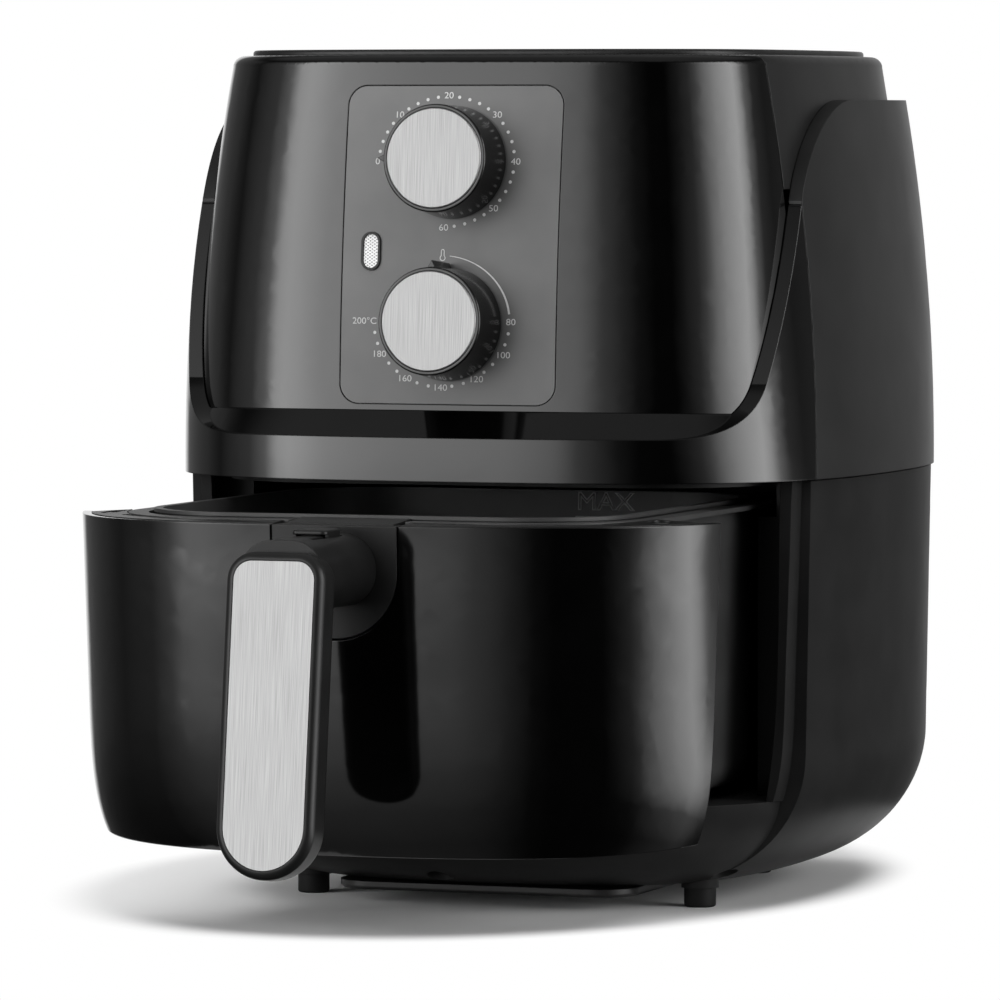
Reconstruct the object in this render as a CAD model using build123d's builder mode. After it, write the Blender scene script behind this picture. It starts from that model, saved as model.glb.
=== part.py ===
"""Air fryer with its drawer pulled open: housing, drawer, basket, knobs and what they hold inside.

Millimetres, +Z up, front towards -Y. The origin is on the floor, under the housing's middle.
"""

import os
from math import acos, atan2, cos, degrees, dist, pi, radians, sin, sqrt

from build123d import *

os.makedirs("parts", exist_ok=True)

# Plan of the housing: a rounded square of four smooth quarters
PLAN_FULLNESS = 0.783  # how far each quarter's handles reach towards its corner
SKIN_FULLNESS = 0.80  # the same at the front of the upper skins, which is squarer
CORE_FULLNESS = 0.86  # and at the front of the front panel
DEPTH_MORE = 8.8  # half depth of the outer skins minus their half width
CORE_MORE = 5.5  # the same for the front panel and top cover

# Main sizes, which most of the others follow
HALF_WIDTH = 128.2
HALF_DEPTH = HALF_WIDTH + DEPTH_MORE
TOP_Z = 307.0  # top edge of the front panel
SEAM_Z = TOP_Z - 152.0  # horizontal seam between tub and upper skins
REACH = 200.0  # longer than any piece, for cuts that go right through
FIT_GAP = 0.2  # clearance between pieces that are fixed together
GLUE_GAP = 0.1

# Outer skins
WIDEST_Z = SEAM_Z + 5.0
BARREL_R = 842.0  # bulge of the outer skins above the seam
CORE_HALF = HALF_WIDTH - 6.7
CORE_R = 900.0  # bulge of the front panel
SKIN_WALL = 2.8
SEAM_GAP = 0.4
PART_Y = 64.0 - HALF_DEPTH  # vertical seam between front and rear skins
COVER_PART_Y = PART_Y - 1.5
TOP_ROUND = 4.0
LID_H = 2.0
LID_INSET = 6.0
LID_LAND = 6.0  # width of the panel's top flange that carries the lid
LID_ROUND = 1.2
COVER_SKIRT = 32.0  # how far the top cover reaches below the ledge
PANEL_WALL = 2.6
PANEL_HEM = 3.0  # the front panel ends this far above the collar's lower edge

# Band round the front panel, seen from the side
BAND_Z = SEAM_Z + 16.0
LEDGE_Z = TOP_Z - 16.0
BAND_FOOT_Y = 31.8 - HALF_DEPTH
BAND_HEAD_Y = PART_Y + 14.5
BAND_FOOT_R = 30.0
BAND_HEAD_R = 58.0
BAND_RISE = 10.0  # height of the sloped face below the front panel
BAND_WALL = 2.5
BAND_EDGE = 0.4  # the slope starts this far inside the skin

# Tub
TUB_TOP_HALF = HALF_WIDTH - 1.0
TUB_LEAN = 0.016  # lost half width per millimetre of height
TUB_ROUND = 48.0
TUB_FLOOR = 8.0
SILL_Z = 40.0
FLOOR_WALL = 3.0
UNDER_WALL = 10.0  # wall of the tub below the sill
JAMB_INSET = 7.0
JAMB_DEPTH = 8.0
LIP_DEPTH = 5.5
CHIN_TUCK = 5.6  # how far the tub's front is set back at the sill
CHIN_CURVE = 1.5  # how late that set-back comes on the way up

# Drawer skin
DRAWER_TOP = SEAM_Z - 10.0
DRAWER_BOTTOM = 30.5
DRAWER_HALF = TUB_TOP_HALF
DRAWER_LEAN = 0.03
DRAWER_ROUND = 115.0
DRAWER_ROUND_Z = 65.0
DRAWER_WALL = 2.8
DRAWER_END = PART_Y - 1.0
HEM_RISE = 3.0  # turn by which the skin's lower edge rises towards its ends
SLIDE_GAP = 0.4
DRAWER_RUN = 0.6  # room between the closed drawer and the housing
OPEN = 100.0  # how far the drawer is pulled out

# Pan and basket
PAN_HALF_W = HALF_WIDTH - 36.2
PAN_FRONT = 20.0 - HALF_DEPTH
PAN_BACK = HALF_DEPTH - 54.0
PAN_CORNER = 42.0
PAN_TAPER = 2.0
PAN_FLOOR = SILL_Z + 3.0
PAN_TOP = SEAM_Z - 9.0
PAN_WALL = 1.2
PAN_BOTTOM_R = 10.0
RAIL_X = PAN_HALF_W - 30.0
RAIL_W = 8.0
RIM_W = 6.0
RIM_H = 1.6
BASKET_GAP = 4.0
BASKET_FLOOR = PAN_FLOOR + 11.0
BASKET_TOP = SEAM_Z - 7.5
BASKET_WALL = 1.2
BASKET_RIM = 2.0
BASKET_DRAFT = 3.2  # how much narrower the basket is at its floor
GRATE_H = 1.5
GRATE_EDGE = 8.0
GRATE_RUN = 1.0
SLOT_L = 22.0
SLOT_W = 5.0
SLOT_PITCH_X = 30.0
SLOT_PITCH_Y = 14.0
SLOT_COLUMNS = 4
SLOT_ROWS = 11
PAD_INSET = 30.0
PAD_R = 4.0

# Control area
PANEL_HALF_W = 40.7
PANEL_LOW = BAND_Z + 11.8
PANEL_HIGH = TOP_Z - 11.2
PANEL_CORNER = 7.0
PANEL_THICK = 1.4
PANEL_GROOVE = 0.35
TIMER_Z = TOP_Z - 38.4
THERMO_Z = TOP_Z - 96.0
KNOB_X = 0.8
KNOB_TILT = 5.0
KNOB_BASE_R = 20.2
KNOB_FACE_R = 19.2
KNOB_H = 19.0
KNOB_LIFT = 1.0
KNOB_EDGE_R = 0.6
KNOB_CAP_R = 17.8
KNOB_CAP_H = 1.2
KNOB_BORE = 10.0
CAP_PROUD = 0.5
NUB_IN = 4.0
NUB_OUT = 2.6
NUB_W = 7.0
NUB_SHORT = 1.0  # the nub stops this far below the knob's face
SHAFT_R = 3.0
SHAFT_RUN = 0.05
NECK_R = 4.6  # threaded neck of the timer and of the thermostat
NECK_DEPTH = 8.0
NECK_OUT = 0.5
UNIT_FRONT = 4.4
UNIT_BACK = 32.0
UNIT_CORNER = 4.0
TIMER_UNIT_W = 46.0
TIMER_UNIT_H = 42.0
THERMO_UNIT_W = 40.0
THERMO_UNIT_H = 32.0
TAB_PITCH = 11.0
TAB_T = 1.0
TAB_W = 6.0
TAB_L = 8.0
LENS_X = -29.6
LENS_Z = TOP_Z - 70.0
LENS_W = 5.4
LENS_H = 12.0
LENS_SINK = 0.5  # the panel curves back this far at the lens
LENS_DEEP = 6.0
BEZEL_W = 1.0
BEZEL_PROUD = 0.6
LAMP_R = 2.2
LAMP_L = 12.0

# Handle
BRACKET_HALF_W = 22.9
SLOT_GAP = 0.7
BRACKET_MID_Z = DRAWER_TOP - 16.0
BRACKET_BACK = 11.0  # depth of the bracket behind the drawer skin's face
NECK_HALF_W = 20.0
NECK_LOW = BRACKET_MID_Z - 9.0
NECK_TOP = PAN_TOP + 0.8
NOTCH_GAP = 1.5
ARM_W = 31.0
ARM_H = 25.0
ARM_R = 12.0
ARM_MID_Z = BRACKET_MID_Z + 1.0
ARM_ROOT = 4.0
ARM_END = 48.0  # from the drawer skin to the arm's front end, inside the grip
GRIP_W = 35.5
GRIP_T = 15.0
GRIP_TOP_Z = DRAWER_TOP - 6.0
GRIP_LEN = GRIP_TOP_Z - 28.5
GRIP_LEAN = 6.9
GRIP_FRONT = 54.0  # from the drawer skin to the grip's face, at its top
GRIP_TOP_R = 9.5
GRIP_EDGE_R = 3.0
GRIP_BACK_R = 5.0
PLATE_INSET = 3.0
PLATE_THICK = 1.2
BUTTON_OUT = 16.0  # from the drawer skin to the button's middle
BUTTON_W = 8.0
BUTTON_L = 12.0
BUTTON_H = 6.0
BUTTON_R = 2.0
BUTTON_PROUD = 0.3
BUTTON_PRESS = 3.0
BUTTON_GAP = 0.35
GUARD_PLATE_W = 12.8
GUARD_PLATE_L = 15.0
GUARD_PLATE_T = 1.4
GUARD_LIFT = 0.35
GUARD_RUNNER_W = 1.2
GUARD_RUNNER_H = 1.6
GUARD_RUN = 0.35
GUARD_SLIDE = 12.0
HANDLE_SCREW_X = 12.0
HANDLE_HEAD_H = 1.6

# Drawer trim, which slopes up from the skin to the pan
SLOPE_W = 27.0
SLOPE_H = 2.0
TRIM_T = 3.0
TRIM_END = PART_Y - 7.6
TRIM_GAP = 0.4
TRIM_SINK = 1.0  # floor of the trim's recesses below the skin's top
TRIM_SLOT_L = 16.0
TRIM_SLOT_W = 2.4
TRIM_SLOT_IN = 6.0
TRIM_SHARES = [0.16, 0.29, 0.43]  # places of the slots round each front quarter
OVAL_X = DRAWER_HALF - 25.2
OVAL_Y = PART_Y - 15.0
OVAL_L = 12.0
OVAL_W = 7.6
TRIM_HEAD_H = 1.2

# Rear air outlet
VENT_LOW = TOP_Z - 111.0
VENT_HIGH = TOP_Z - 63.0
VENT_W = 96.0
VENT_CORNER = 6.0
VENT_SLOT = 4.0
VENT_PITCH = 7.5
VENT_SLOTS = 6
VENT_MORE = 5.0  # height of the curved blank beyond the outlet

# Base
FOOT_X = HALF_WIDTH - 53.2
FOOT_Y = HALF_DEPTH - 72.0
REAR_FOOT_X = HALF_WIDTH - 73.2
REAR_FOOT_Y = HALF_DEPTH - 77.0
FEET = [
    (FOOT_X, -FOOT_Y),
    (-FOOT_X, -FOOT_Y),
    (REAR_FOOT_X, REAR_FOOT_Y),
    (-REAR_FOOT_X, REAR_FOOT_Y),
]
FOOT_R = 5.8
FOOT_H = 7.0
FOOT_EDGE_R = 1.0
FOOT_BOSS = 1.0
FOOT_STEM_R = 2.5
FOOT_STEM_H = 6.0
PLATE_HALF_W = HALF_WIDTH - 71.2
PLATE_FRONT = 42.0 - HALF_DEPTH
PLATE_REAR = HALF_DEPTH - 92.0
BASE_PLATE_H = 3.0
BASE_PLATE_R = 14.0
SCREW_WELL_R = 4.8
SCREW_WELL_TOP = 25.0
SCREW_HEAD_R = 3.6
SCREW_HEAD_H = 2.6
SCREW_SLOT = 0.9
SCREW_SHANK_R = 1.8
SCREW_SHANK_L = 9.0
WELL_BOSS_R = 7.5
WELL_SKIN = 1.0
FRONT_WELL_X = HALF_WIDTH - 42.2
FRONT_WELL_Y = HALF_DEPTH - 67.0
REAR_WELL_Y = HALF_DEPTH - 75.0
WELLS = [
    (-11.0, 34.0 - HALF_DEPTH),
    (FRONT_WELL_X, -FRONT_WELL_Y),
    (-FRONT_WELL_X, -FRONT_WELL_Y),
    (FRONT_WELL_X, REAR_WELL_Y),
    (-FRONT_WELL_X, REAR_WELL_Y),
]
GLAND_X = 66.0
GLAND_Z = 62.0
GLAND_R = 6.0
GLAND_FLANGE = 2.5
GLAND_DEPTH = 14.0
GLAND_BORE_R = 3.6

# Heating chamber
FRAME_Y = PART_Y + 15.0
FRAME_T = 2.5
PAN_RUN = 2.5  # room round the sliding pan
RIM_RUN = 3.5
LINER_HALF_W = HALF_WIDTH - 25.2
LINER_BACK = HALF_DEPTH - 42.0
LINER_CORNER = 46.0
LINER_WALL = 1.0
LINER_TOP = SEAM_Z - 2.0
HOOD_FRONT = 24.0 - HALF_DEPTH
HOOD_TOP = LINER_TOP + 37.0
HOOD_ROUND = 12.0
SHAFT_HOLE_R = 5.0
ELEMENT_Z = LINER_TOP + 14.0
ELEMENT_R = 3.2
ELEMENT_OUT = LINER_HALF_W - 18.0
ELEMENT_IN = ELEMENT_OUT - 22.0
ELEMENT_TURNS = 2
ELEMENT_LEG = 10.0
LEG_SLEEVE_R = 4.2
CLIP_T = 1.2
CLIP_W = 8.0
CLIP_MORE = 10.0
GUARD_Z = LINER_TOP + 5.0
GUARD_R = LINER_HALF_W - 11.0
GUARD_W = 4.0
GUARD_T = 1.6
EAR_W = 10.0

# Fans, motor and switch
FAN_R = ELEMENT_IN - 9.0
FAN_Z = LINER_TOP + 19.0
FAN_HUB_R = 9.0
FAN_BLADES = 8
BLADE_H = 11.0
BLADE_T = 1.2
BLADE_TURN = 25.0
COOLER_R = 42.0
COOLER_Z = HOOD_TOP + 3.0
COOLER_H = 9.0
COOLER_HUB_R = 8.0
MOTOR_R = 32.0
MOTOR_Z = HOOD_TOP + 20.0
MOTOR_H = 30.0
MOTOR_ROUND = 4.0
MOTOR_BOSS_R = 9.0
MOTOR_BOSS_H = 3.0
SHAFT_OUT = 4.0
BRACKET_T = 2.0
BRACKET_R = 58.0
BRACKET_CORNER = 12.0
LEG_R = 3.5
LEG_INSET = 10.0
SWITCH_X = HALF_WIDTH - 16.2
SWITCH_Z = SEAM_Z - 35.0
SWITCH_W = 10.0
SWITCH_L = 20.0
SWITCH_H = 6.0
SWITCH_TAB_L = 6.0
SWITCH_TAB_H = 4.0


def plan(z, half_w, more=DEPTH_MORE, front=PLAN_FULLNESS):
    """The rounded-square outline at one height, as a face; its front may be squarer."""
    half_d = half_w + more
    with BuildSketch(Plane.XY.offset(z)) as outline:
        with BuildLine():
            for side, fullness in ((-1, front), (1, PLAN_FULLNESS)):
                Bezier(
                    (half_w, 0),
                    (half_w, side * fullness * half_d),
                    (fullness * half_w, side * half_d),
                    (0, side * half_d),
                )
            mirror(about=Plane.YZ)
        make_face()
    return outline.sketch


def arc_drop(radius, run):
    """How far a circle falls away from its tangent after a run along it."""
    return radius - sqrt(radius**2 - run**2)


def barrel_half(z):
    return HALF_WIDTH - arc_drop(BARREL_R, z - WIDEST_Z)


def core_half(z):
    return CORE_HALF - arc_drop(CORE_R, z - WIDEST_Z)


def barrel_plan(z, inset):
    return plan(z, barrel_half(z) - inset, front=SKIN_FULLNESS)


def core_plan(z, half):
    return plan(z, half, CORE_MORE, CORE_FULLNESS)


def tub_half(z):
    round_z = TUB_FLOOR + TUB_ROUND
    drop = arc_drop(TUB_ROUND, round_z - z) if z < round_z else 0
    return TUB_TOP_HALF - TUB_LEAN * (SEAM_Z - z) - drop


def drawer_half(z):
    run = max(DRAWER_ROUND_Z - z, 0)
    return DRAWER_HALF - DRAWER_LEAN * (DRAWER_TOP - z) - arc_drop(DRAWER_ROUND, run)


def levels(low, high, count):
    return [low + (high - low) * step / (count - 1) for step in range(count)]


def barrel_plans(inset, low, high):
    return [barrel_plan(z, inset) for z in levels(low, high, 4)]


def core_plans(inset, low, high):
    return [core_plan(z, core_half(z) - inset) for z in levels(low, high, 4)]


def round_plans(half_at, turn_end):
    """Outlines up the rounded bottom of the tub, as far as a given turn of its arc."""
    plans = []
    for turn in levels(0, turn_end, 6):
        z = TUB_FLOOR + TUB_ROUND * (1 - cos(turn))
        plans.append(plan(z, half_at(z)))
    return plans


def drawer_plans(inset, low=DRAWER_BOTTOM, high=DRAWER_TOP):
    return [plan(z, drawer_half(z) - inset) for z in levels(low, high, 6)]


def front_of(y):
    """Cutting plane whose kept side faces the front."""
    return Plane(origin=(0, y, 0), z_dir=(0, -1, 0))


def side_region(inset):
    """Side view of the space below and behind the band."""
    with BuildSketch(Plane.YZ) as region:
        with BuildLine():
            Polyline(
                (-REACH, REACH / 2),
                (-REACH, BAND_Z),
                (BAND_FOOT_Y, BAND_Z),
                (BAND_HEAD_Y, LEDGE_Z),
                (REACH, LEDGE_Z),
                (REACH, REACH / 2),
                close=True,
            )
        make_face()
        fillet(region.vertices().sort_by_distance((BAND_FOOT_Y, BAND_Z))[0], BAND_FOOT_R)
        fillet(region.vertices().sort_by_distance((BAND_HEAD_Y, LEDGE_Z))[0], BAND_HEAD_R)
        if inset:
            offset(amount=-inset)
    return region.sketch


def knob_plane(z, x=KNOB_X):
    """Plane on the front panel, square to a knob's axis."""
    lean = radians(KNOB_TILT)
    return Plane(
        origin=(x, -core_half(z) - CORE_MORE, z),
        x_dir=(1, 0, 0),
        z_dir=(0, -cos(lean), sin(lean)),
    )


def save(builder, name, pull=0.0):
    """Writes one piece, pulled out with the drawer where it belongs to it."""
    piece = builder.part.moved(Location((0, -pull, 0)))
    piece.label = name
    export_step(piece, f"parts/{name}.step")


# Upper outer skin with its band, before it is parted into collar and rear shell
skin_low = SEAM_Z + SEAM_GAP
with BuildPart() as skin_space:
    loft(barrel_plans(SKIN_WALL, skin_low - 1, LEDGE_Z + 1))
    extrude(side_region(BAND_WALL), amount=REACH, both=True, mode=Mode.INTERSECT)

with BuildPart() as core_space:
    loft(core_plans(-FIT_GAP, skin_low - 1, LEDGE_Z + 1))

with BuildPart() as band_slope:
    slope_low = BAND_Z - BAND_WALL / 2
    foot = plan(slope_low, barrel_half(BAND_Z) - BAND_EDGE, front=SKIN_FULLNESS)
    crest = core_plan(BAND_Z + BAND_RISE, core_half(BAND_Z) - BAND_EDGE)
    loft([foot, crest])
    split(bisect_by=front_of(BAND_FOOT_Y + BAND_RISE))

with BuildPart() as banded_skin:
    loft(barrel_plans(0, skin_low, LEDGE_Z))
    extrude(side_region(0), amount=REACH, both=True, mode=Mode.INTERSECT)
    add(skin_space.part, mode=Mode.SUBTRACT)
    add(band_slope.part)
    add(core_space.part, mode=Mode.SUBTRACT)

with BuildPart() as front_collar:
    add(banded_skin.part)
    split(bisect_by=front_of(PART_Y))
save(front_collar, "front_collar")

vent_mid_z = (VENT_LOW + VENT_HIGH) / 2
with BuildPart() as rear_shell:
    add(banded_skin.part)
    split(bisect_by=front_of(PART_Y + SEAM_GAP), keep=Keep.BOTTOM)
    with BuildSketch(Plane.XZ) as vent_hole:
        with Locations((0, vent_mid_z)):
            RectangleRounded(VENT_W, VENT_HIGH - VENT_LOW, VENT_CORNER)
    extrude(amount=-REACH, mode=Mode.SUBTRACT)
save(rear_shell, "rear_shell")

with BuildPart() as vent_grille:
    loft(barrel_plans(0, VENT_LOW - VENT_MORE, VENT_HIGH + VENT_MORE))
    vent_in = VENT_MORE + 1
    loft(barrel_plans(SKIN_WALL, VENT_LOW - vent_in, VENT_HIGH + vent_in), mode=Mode.SUBTRACT)
    with BuildSketch(Plane.XZ) as vent_plate:
        with Locations((0, vent_mid_z)):
            RectangleRounded(
                VENT_W - 2 * FIT_GAP, VENT_HIGH - VENT_LOW - 2 * FIT_GAP, VENT_CORNER - FIT_GAP
            )
            with GridLocations(0, VENT_PITCH, 1, VENT_SLOTS):
                SlotOverall(VENT_W - 2 * VENT_CORNER, VENT_SLOT, mode=Mode.SUBTRACT)
    extrude(amount=-REACH, mode=Mode.INTERSECT)
save(vent_grille, "vent_grille")

# Front panel and top cover share the core barrel, which closes with a rounded top edge
core_low = skin_low + PANEL_HEM
with BuildPart() as core_skin:
    loft(core_plans(0, core_low, TOP_Z - TOP_ROUND))
    top_plans = []
    for step in range(4):
        turn = pi / 2 * step / 3
        rise = TOP_Z - TOP_ROUND * (1 - sin(turn))
        half = core_half(TOP_Z - TOP_ROUND) - TOP_ROUND * (1 - cos(turn))
        top_plans.append(core_plan(rise, half))
    loft(top_plans)
    loft(core_plans(PANEL_WALL, core_low - 1, TOP_Z - PANEL_WALL), mode=Mode.SUBTRACT)

inlay_mid_z = (PANEL_LOW + PANEL_HIGH) / 2
inlay_h = PANEL_HIGH - PANEL_LOW
timer_plane = knob_plane(TIMER_Z)
thermo_plane = knob_plane(THERMO_Z)
lens_plane = knob_plane(LENS_Z, LENS_X)

with BuildPart() as control_panel:
    loft(core_plans(0, PANEL_LOW - 5, PANEL_HIGH + 5))
    loft(core_plans(PANEL_THICK, PANEL_LOW - 6, PANEL_HIGH + 6), mode=Mode.SUBTRACT)
    with BuildSketch(Plane.XZ) as inlay_outline:
        with Locations((0, inlay_mid_z)):
            RectangleRounded(2 * PANEL_HALF_W, inlay_h, PANEL_CORNER)
    extrude(amount=REACH, mode=Mode.INTERSECT)
    with BuildSketch(timer_plane, thermo_plane) as inlay_necks:
        Circle(NECK_R + FIT_GAP)
    extrude(amount=NECK_DEPTH, both=True, mode=Mode.SUBTRACT)
    with BuildSketch(lens_plane) as inlay_lens:
        SlotOverall(LENS_H + 2 * BEZEL_W, LENS_W + 2 * BEZEL_W, rotation=90)
    extrude(amount=NECK_DEPTH, both=True, mode=Mode.SUBTRACT)
save(control_panel, "control_panel")

groove = PANEL_GROOVE
with BuildPart() as inlay_pocket:
    loft(core_plans(-1, PANEL_LOW - 5, PANEL_HIGH + 5))
    bed = PANEL_THICK + GLUE_GAP
    loft(core_plans(bed, PANEL_LOW - 6, PANEL_HIGH + 6), mode=Mode.SUBTRACT)
    with BuildSketch(Plane.XZ) as pocket_outline:
        with Locations((0, inlay_mid_z)):
            RectangleRounded(2 * (PANEL_HALF_W + groove), inlay_h + 2 * groove, PANEL_CORNER + groove)
    extrude(amount=REACH, mode=Mode.INTERSECT)

with BuildPart() as front_panel:
    add(core_skin.part)
    split(bisect_by=front_of(COVER_PART_Y))
    with BuildSketch(Plane.XY.offset(TOP_Z)) as panel_mouth:
        add(core_plan(TOP_Z, core_half(TOP_Z) - TOP_ROUND - LID_LAND))
    extrude(amount=-2 * PANEL_WALL, mode=Mode.SUBTRACT)
    add(inlay_pocket.part, mode=Mode.SUBTRACT)
    with BuildSketch(timer_plane, thermo_plane) as panel_necks:
        Circle(NECK_R + FIT_GAP)
    extrude(amount=NECK_DEPTH, both=True, mode=Mode.SUBTRACT)
    with BuildSketch(lens_plane) as panel_lens:
        SlotOverall(LENS_H + FIT_GAP, LENS_W + FIT_GAP, rotation=90)
    extrude(amount=NECK_DEPTH, both=True, mode=Mode.SUBTRACT)
save(front_panel, "front_panel")

with BuildPart() as top_cover:
    add(core_skin.part)
    split(bisect_by=front_of(COVER_PART_Y + SEAM_GAP), keep=Keep.BOTTOM)
    split(bisect_by=Plane.XY.offset(LEDGE_Z - COVER_SKIRT))
    with BuildSketch(Plane.XY.offset(TOP_Z)) as lid_outline:
        add(core_plan(TOP_Z, core_half(TOP_Z) - LID_INSET))
    extrude(amount=LID_H)
    fillet(top_cover.faces().sort_by(Axis.Z)[-1].edges(), LID_ROUND)
save(top_cover, "top_cover")

# Tub: rounded bottom, drawer bay above the sill, closed space below it
def tub_space_plans(inset, low, high):
    return [plan(z, tub_half(z) - inset) for z in levels(low, high, 4)]


def chin_half(z):
    """Half width of the front that is set back so the drawer skin can hang over it."""
    share = (z - TUB_FLOOR) / (SILL_Z - TUB_FLOOR)
    return tub_half(z) - CHIN_TUCK * max(share, 0) ** CHIN_CURVE


def slab(y_front, y_back, z_low, z_high, half_x=REACH):
    """A block across the part's middle, to cut or keep a slice of it."""
    with BuildPart() as block:
        with Locations((0, (y_front + y_back) / 2, (z_low + z_high) / 2)):
            Box(2 * half_x, y_back - y_front, z_high - z_low)
    return block.part


jamb_y = PART_Y - SEAM_GAP
with BuildPart() as chin:
    loft(round_plans(chin_half, acos(1 - (SILL_Z - TUB_FLOOR) / TUB_ROUND)))

with BuildPart() as chin_cut:
    add(slab(-REACH, jamb_y, 0, SILL_Z))
    add(chin.part, mode=Mode.SUBTRACT)

with BuildPart() as jamb:
    loft(tub_space_plans(SKIN_WALL / 2, SILL_Z - 1, SEAM_Z))
    add(slab(jamb_y, jamb_y + JAMB_DEPTH, SILL_Z - 1, SEAM_Z), mode=Mode.INTERSECT)

with BuildPart() as jamb_lip:
    loft(drawer_plans(DRAWER_WALL + DRAWER_RUN, SILL_Z - 1, SEAM_Z))
    add(slab(jamb_y - LIP_DEPTH, jamb_y + 1, SILL_Z - 1, SEAM_Z), mode=Mode.INTERSECT)

with BuildPart() as well_posts:
    with BuildSketch(Plane.XY.offset(TUB_FLOOR)) as well_bosses:
        with Locations(*WELLS):
            Circle(WELL_BOSS_R)
    extrude(amount=SILL_Z - FLOOR_WALL - TUB_FLOOR)
    loft(round_plans(lambda z: chin_half(z) - WELL_SKIN, pi / 3), mode=Mode.INTERSECT)

with BuildPart() as lower_housing:
    loft(round_plans(tub_half, pi / 2))
    loft(tub_space_plans(0, TUB_FLOOR + TUB_ROUND, SEAM_Z))
    loft(tub_space_plans(SKIN_WALL, SILL_Z, SEAM_Z), mode=Mode.SUBTRACT)
    add(slab(-REACH, jamb_y, SILL_Z, SEAM_Z), mode=Mode.SUBTRACT)
    add(jamb.part)
    add(jamb_lip.part)
    loft(tub_space_plans(JAMB_INSET, SILL_Z, SEAM_Z), mode=Mode.SUBTRACT)
    add(chin_cut.part, mode=Mode.SUBTRACT)
    under_low = TUB_FLOOR + FLOOR_WALL
    under_high = SILL_Z - FLOOR_WALL
    loft(tub_space_plans(UNDER_WALL, under_low + UNDER_WALL / 2, under_high), mode=Mode.SUBTRACT)
    with BuildSketch(Plane.XY.offset(SILL_Z)) as rails:
        with Locations((RAIL_X, (jamb_y + PAN_BACK) / 2), (-RAIL_X, (jamb_y + PAN_BACK) / 2)):
            Rectangle(RAIL_W, PAN_BACK - jamb_y)
    extrude(amount=PAN_FLOOR - SILL_Z - SLIDE_GAP)
    with BuildSketch(Plane.XY.offset(FOOT_H)) as foot_bosses:
        with Locations(*FEET):
            Circle(FOOT_R + FOOT_BOSS)
    extrude(amount=SILL_Z - FLOOR_WALL - FOOT_H)
    add(well_posts.part)
    with BuildSketch() as wells:
        with Locations(*WELLS):
            Circle(SCREW_WELL_R)
    extrude(amount=SCREW_WELL_TOP, mode=Mode.SUBTRACT)
    with BuildSketch(Plane.XY.offset(SCREW_WELL_TOP)) as well_holes:
        with Locations(*WELLS):
            Circle(SCREW_SHANK_R)
    extrude(amount=SCREW_SHANK_L, mode=Mode.SUBTRACT)
    with BuildSketch(Plane.XY.offset(FOOT_H)) as stem_holes:
        with Locations(*FEET):
            Circle(FOOT_STEM_R)
    extrude(amount=FOOT_STEM_H + FIT_GAP, mode=Mode.SUBTRACT)
    with BuildSketch(Plane.XZ) as gland_hole:
        with Locations((GLAND_X, GLAND_Z)):
            Circle(GLAND_R + FIT_GAP)
    extrude(amount=-REACH, mode=Mode.SUBTRACT)
save(lower_housing, "lower_housing")

# What stands under the tub
with BuildPart() as base_plate:
    with BuildSketch(Plane.XY.offset(TUB_FLOOR - FIT_GAP)) as plate_outline:
        with Locations((0, (PLATE_FRONT + PLATE_REAR) / 2)):
            RectangleRounded(2 * PLATE_HALF_W, PLATE_REAR - PLATE_FRONT, BASE_PLATE_R)
    extrude(amount=-BASE_PLATE_H)
    chamfer(base_plate.faces().sort_by(Axis.Z)[0].edges(), BASE_PLATE_H / 3)
save(base_plate, "base_plate")

with BuildPart() as feet:
    with BuildSketch() as foot_pads:
        with Locations(*FEET):
            Circle(FOOT_R)
    extrude(amount=FOOT_H)
    fillet(feet.edges().group_by(Axis.Z)[0], FOOT_EDGE_R)
    with BuildSketch(Plane.XY.offset(FOOT_H)) as foot_stems:
        with Locations(*FEET):
            Circle(FOOT_STEM_R)
    extrude(amount=FOOT_STEM_H)
save(feet, "feet")

with BuildPart() as base_screws:
    with BuildSketch(Plane.XY.offset(SCREW_WELL_TOP)) as screw_heads:
        with Locations(*WELLS):
            Circle(SCREW_HEAD_R)
    extrude(amount=-SCREW_HEAD_H)
    with BuildSketch(Plane.XY.offset(SCREW_WELL_TOP)) as screw_shanks:
        with Locations(*WELLS):
            Circle(SCREW_SHANK_R)
    extrude(amount=SCREW_SHANK_L - 1)
    with BuildSketch(Plane.XY.offset(SCREW_WELL_TOP - SCREW_HEAD_H)) as screw_slots:
        with Locations(*WELLS):
            Rectangle(SCREW_HEAD_R, SCREW_SLOT)
            Rectangle(SCREW_SLOT, SCREW_HEAD_R)
    extrude(amount=SCREW_HEAD_H / 2, mode=Mode.SUBTRACT)
save(base_screws, "base_screws")

def across_y(radius):
    """A long cylinder along Y through the cord's way out at the back."""
    with BuildPart() as rod:
        with BuildSketch(Plane.XZ) as rod_end:
            with Locations((GLAND_X, GLAND_Z)):
                Circle(radius)
        extrude(amount=-REACH)
    return rod.part


gland_low = GLAND_Z - 2 * GLAND_R
gland_high = GLAND_Z + 2 * GLAND_R
with BuildPart() as gland_barrel:
    loft(tub_space_plans(-2 * FIT_GAP, gland_low, gland_high))
    loft(tub_space_plans(GLAND_DEPTH, gland_low - 1, gland_high + 1), mode=Mode.SUBTRACT)
    add(across_y(GLAND_R), mode=Mode.INTERSECT)

with BuildPart() as cord_gland:
    loft(tub_space_plans(-GLAND_FLANGE, gland_low, gland_high))
    loft(tub_space_plans(-FIT_GAP, gland_low - 1, gland_high + 1), mode=Mode.SUBTRACT)
    add(across_y(GLAND_R + GLAND_FLANGE), mode=Mode.INTERSECT)
    add(gland_barrel.part)
    add(across_y(GLAND_BORE_R), mode=Mode.SUBTRACT)
save(cord_gland, "cord_gland")

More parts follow.
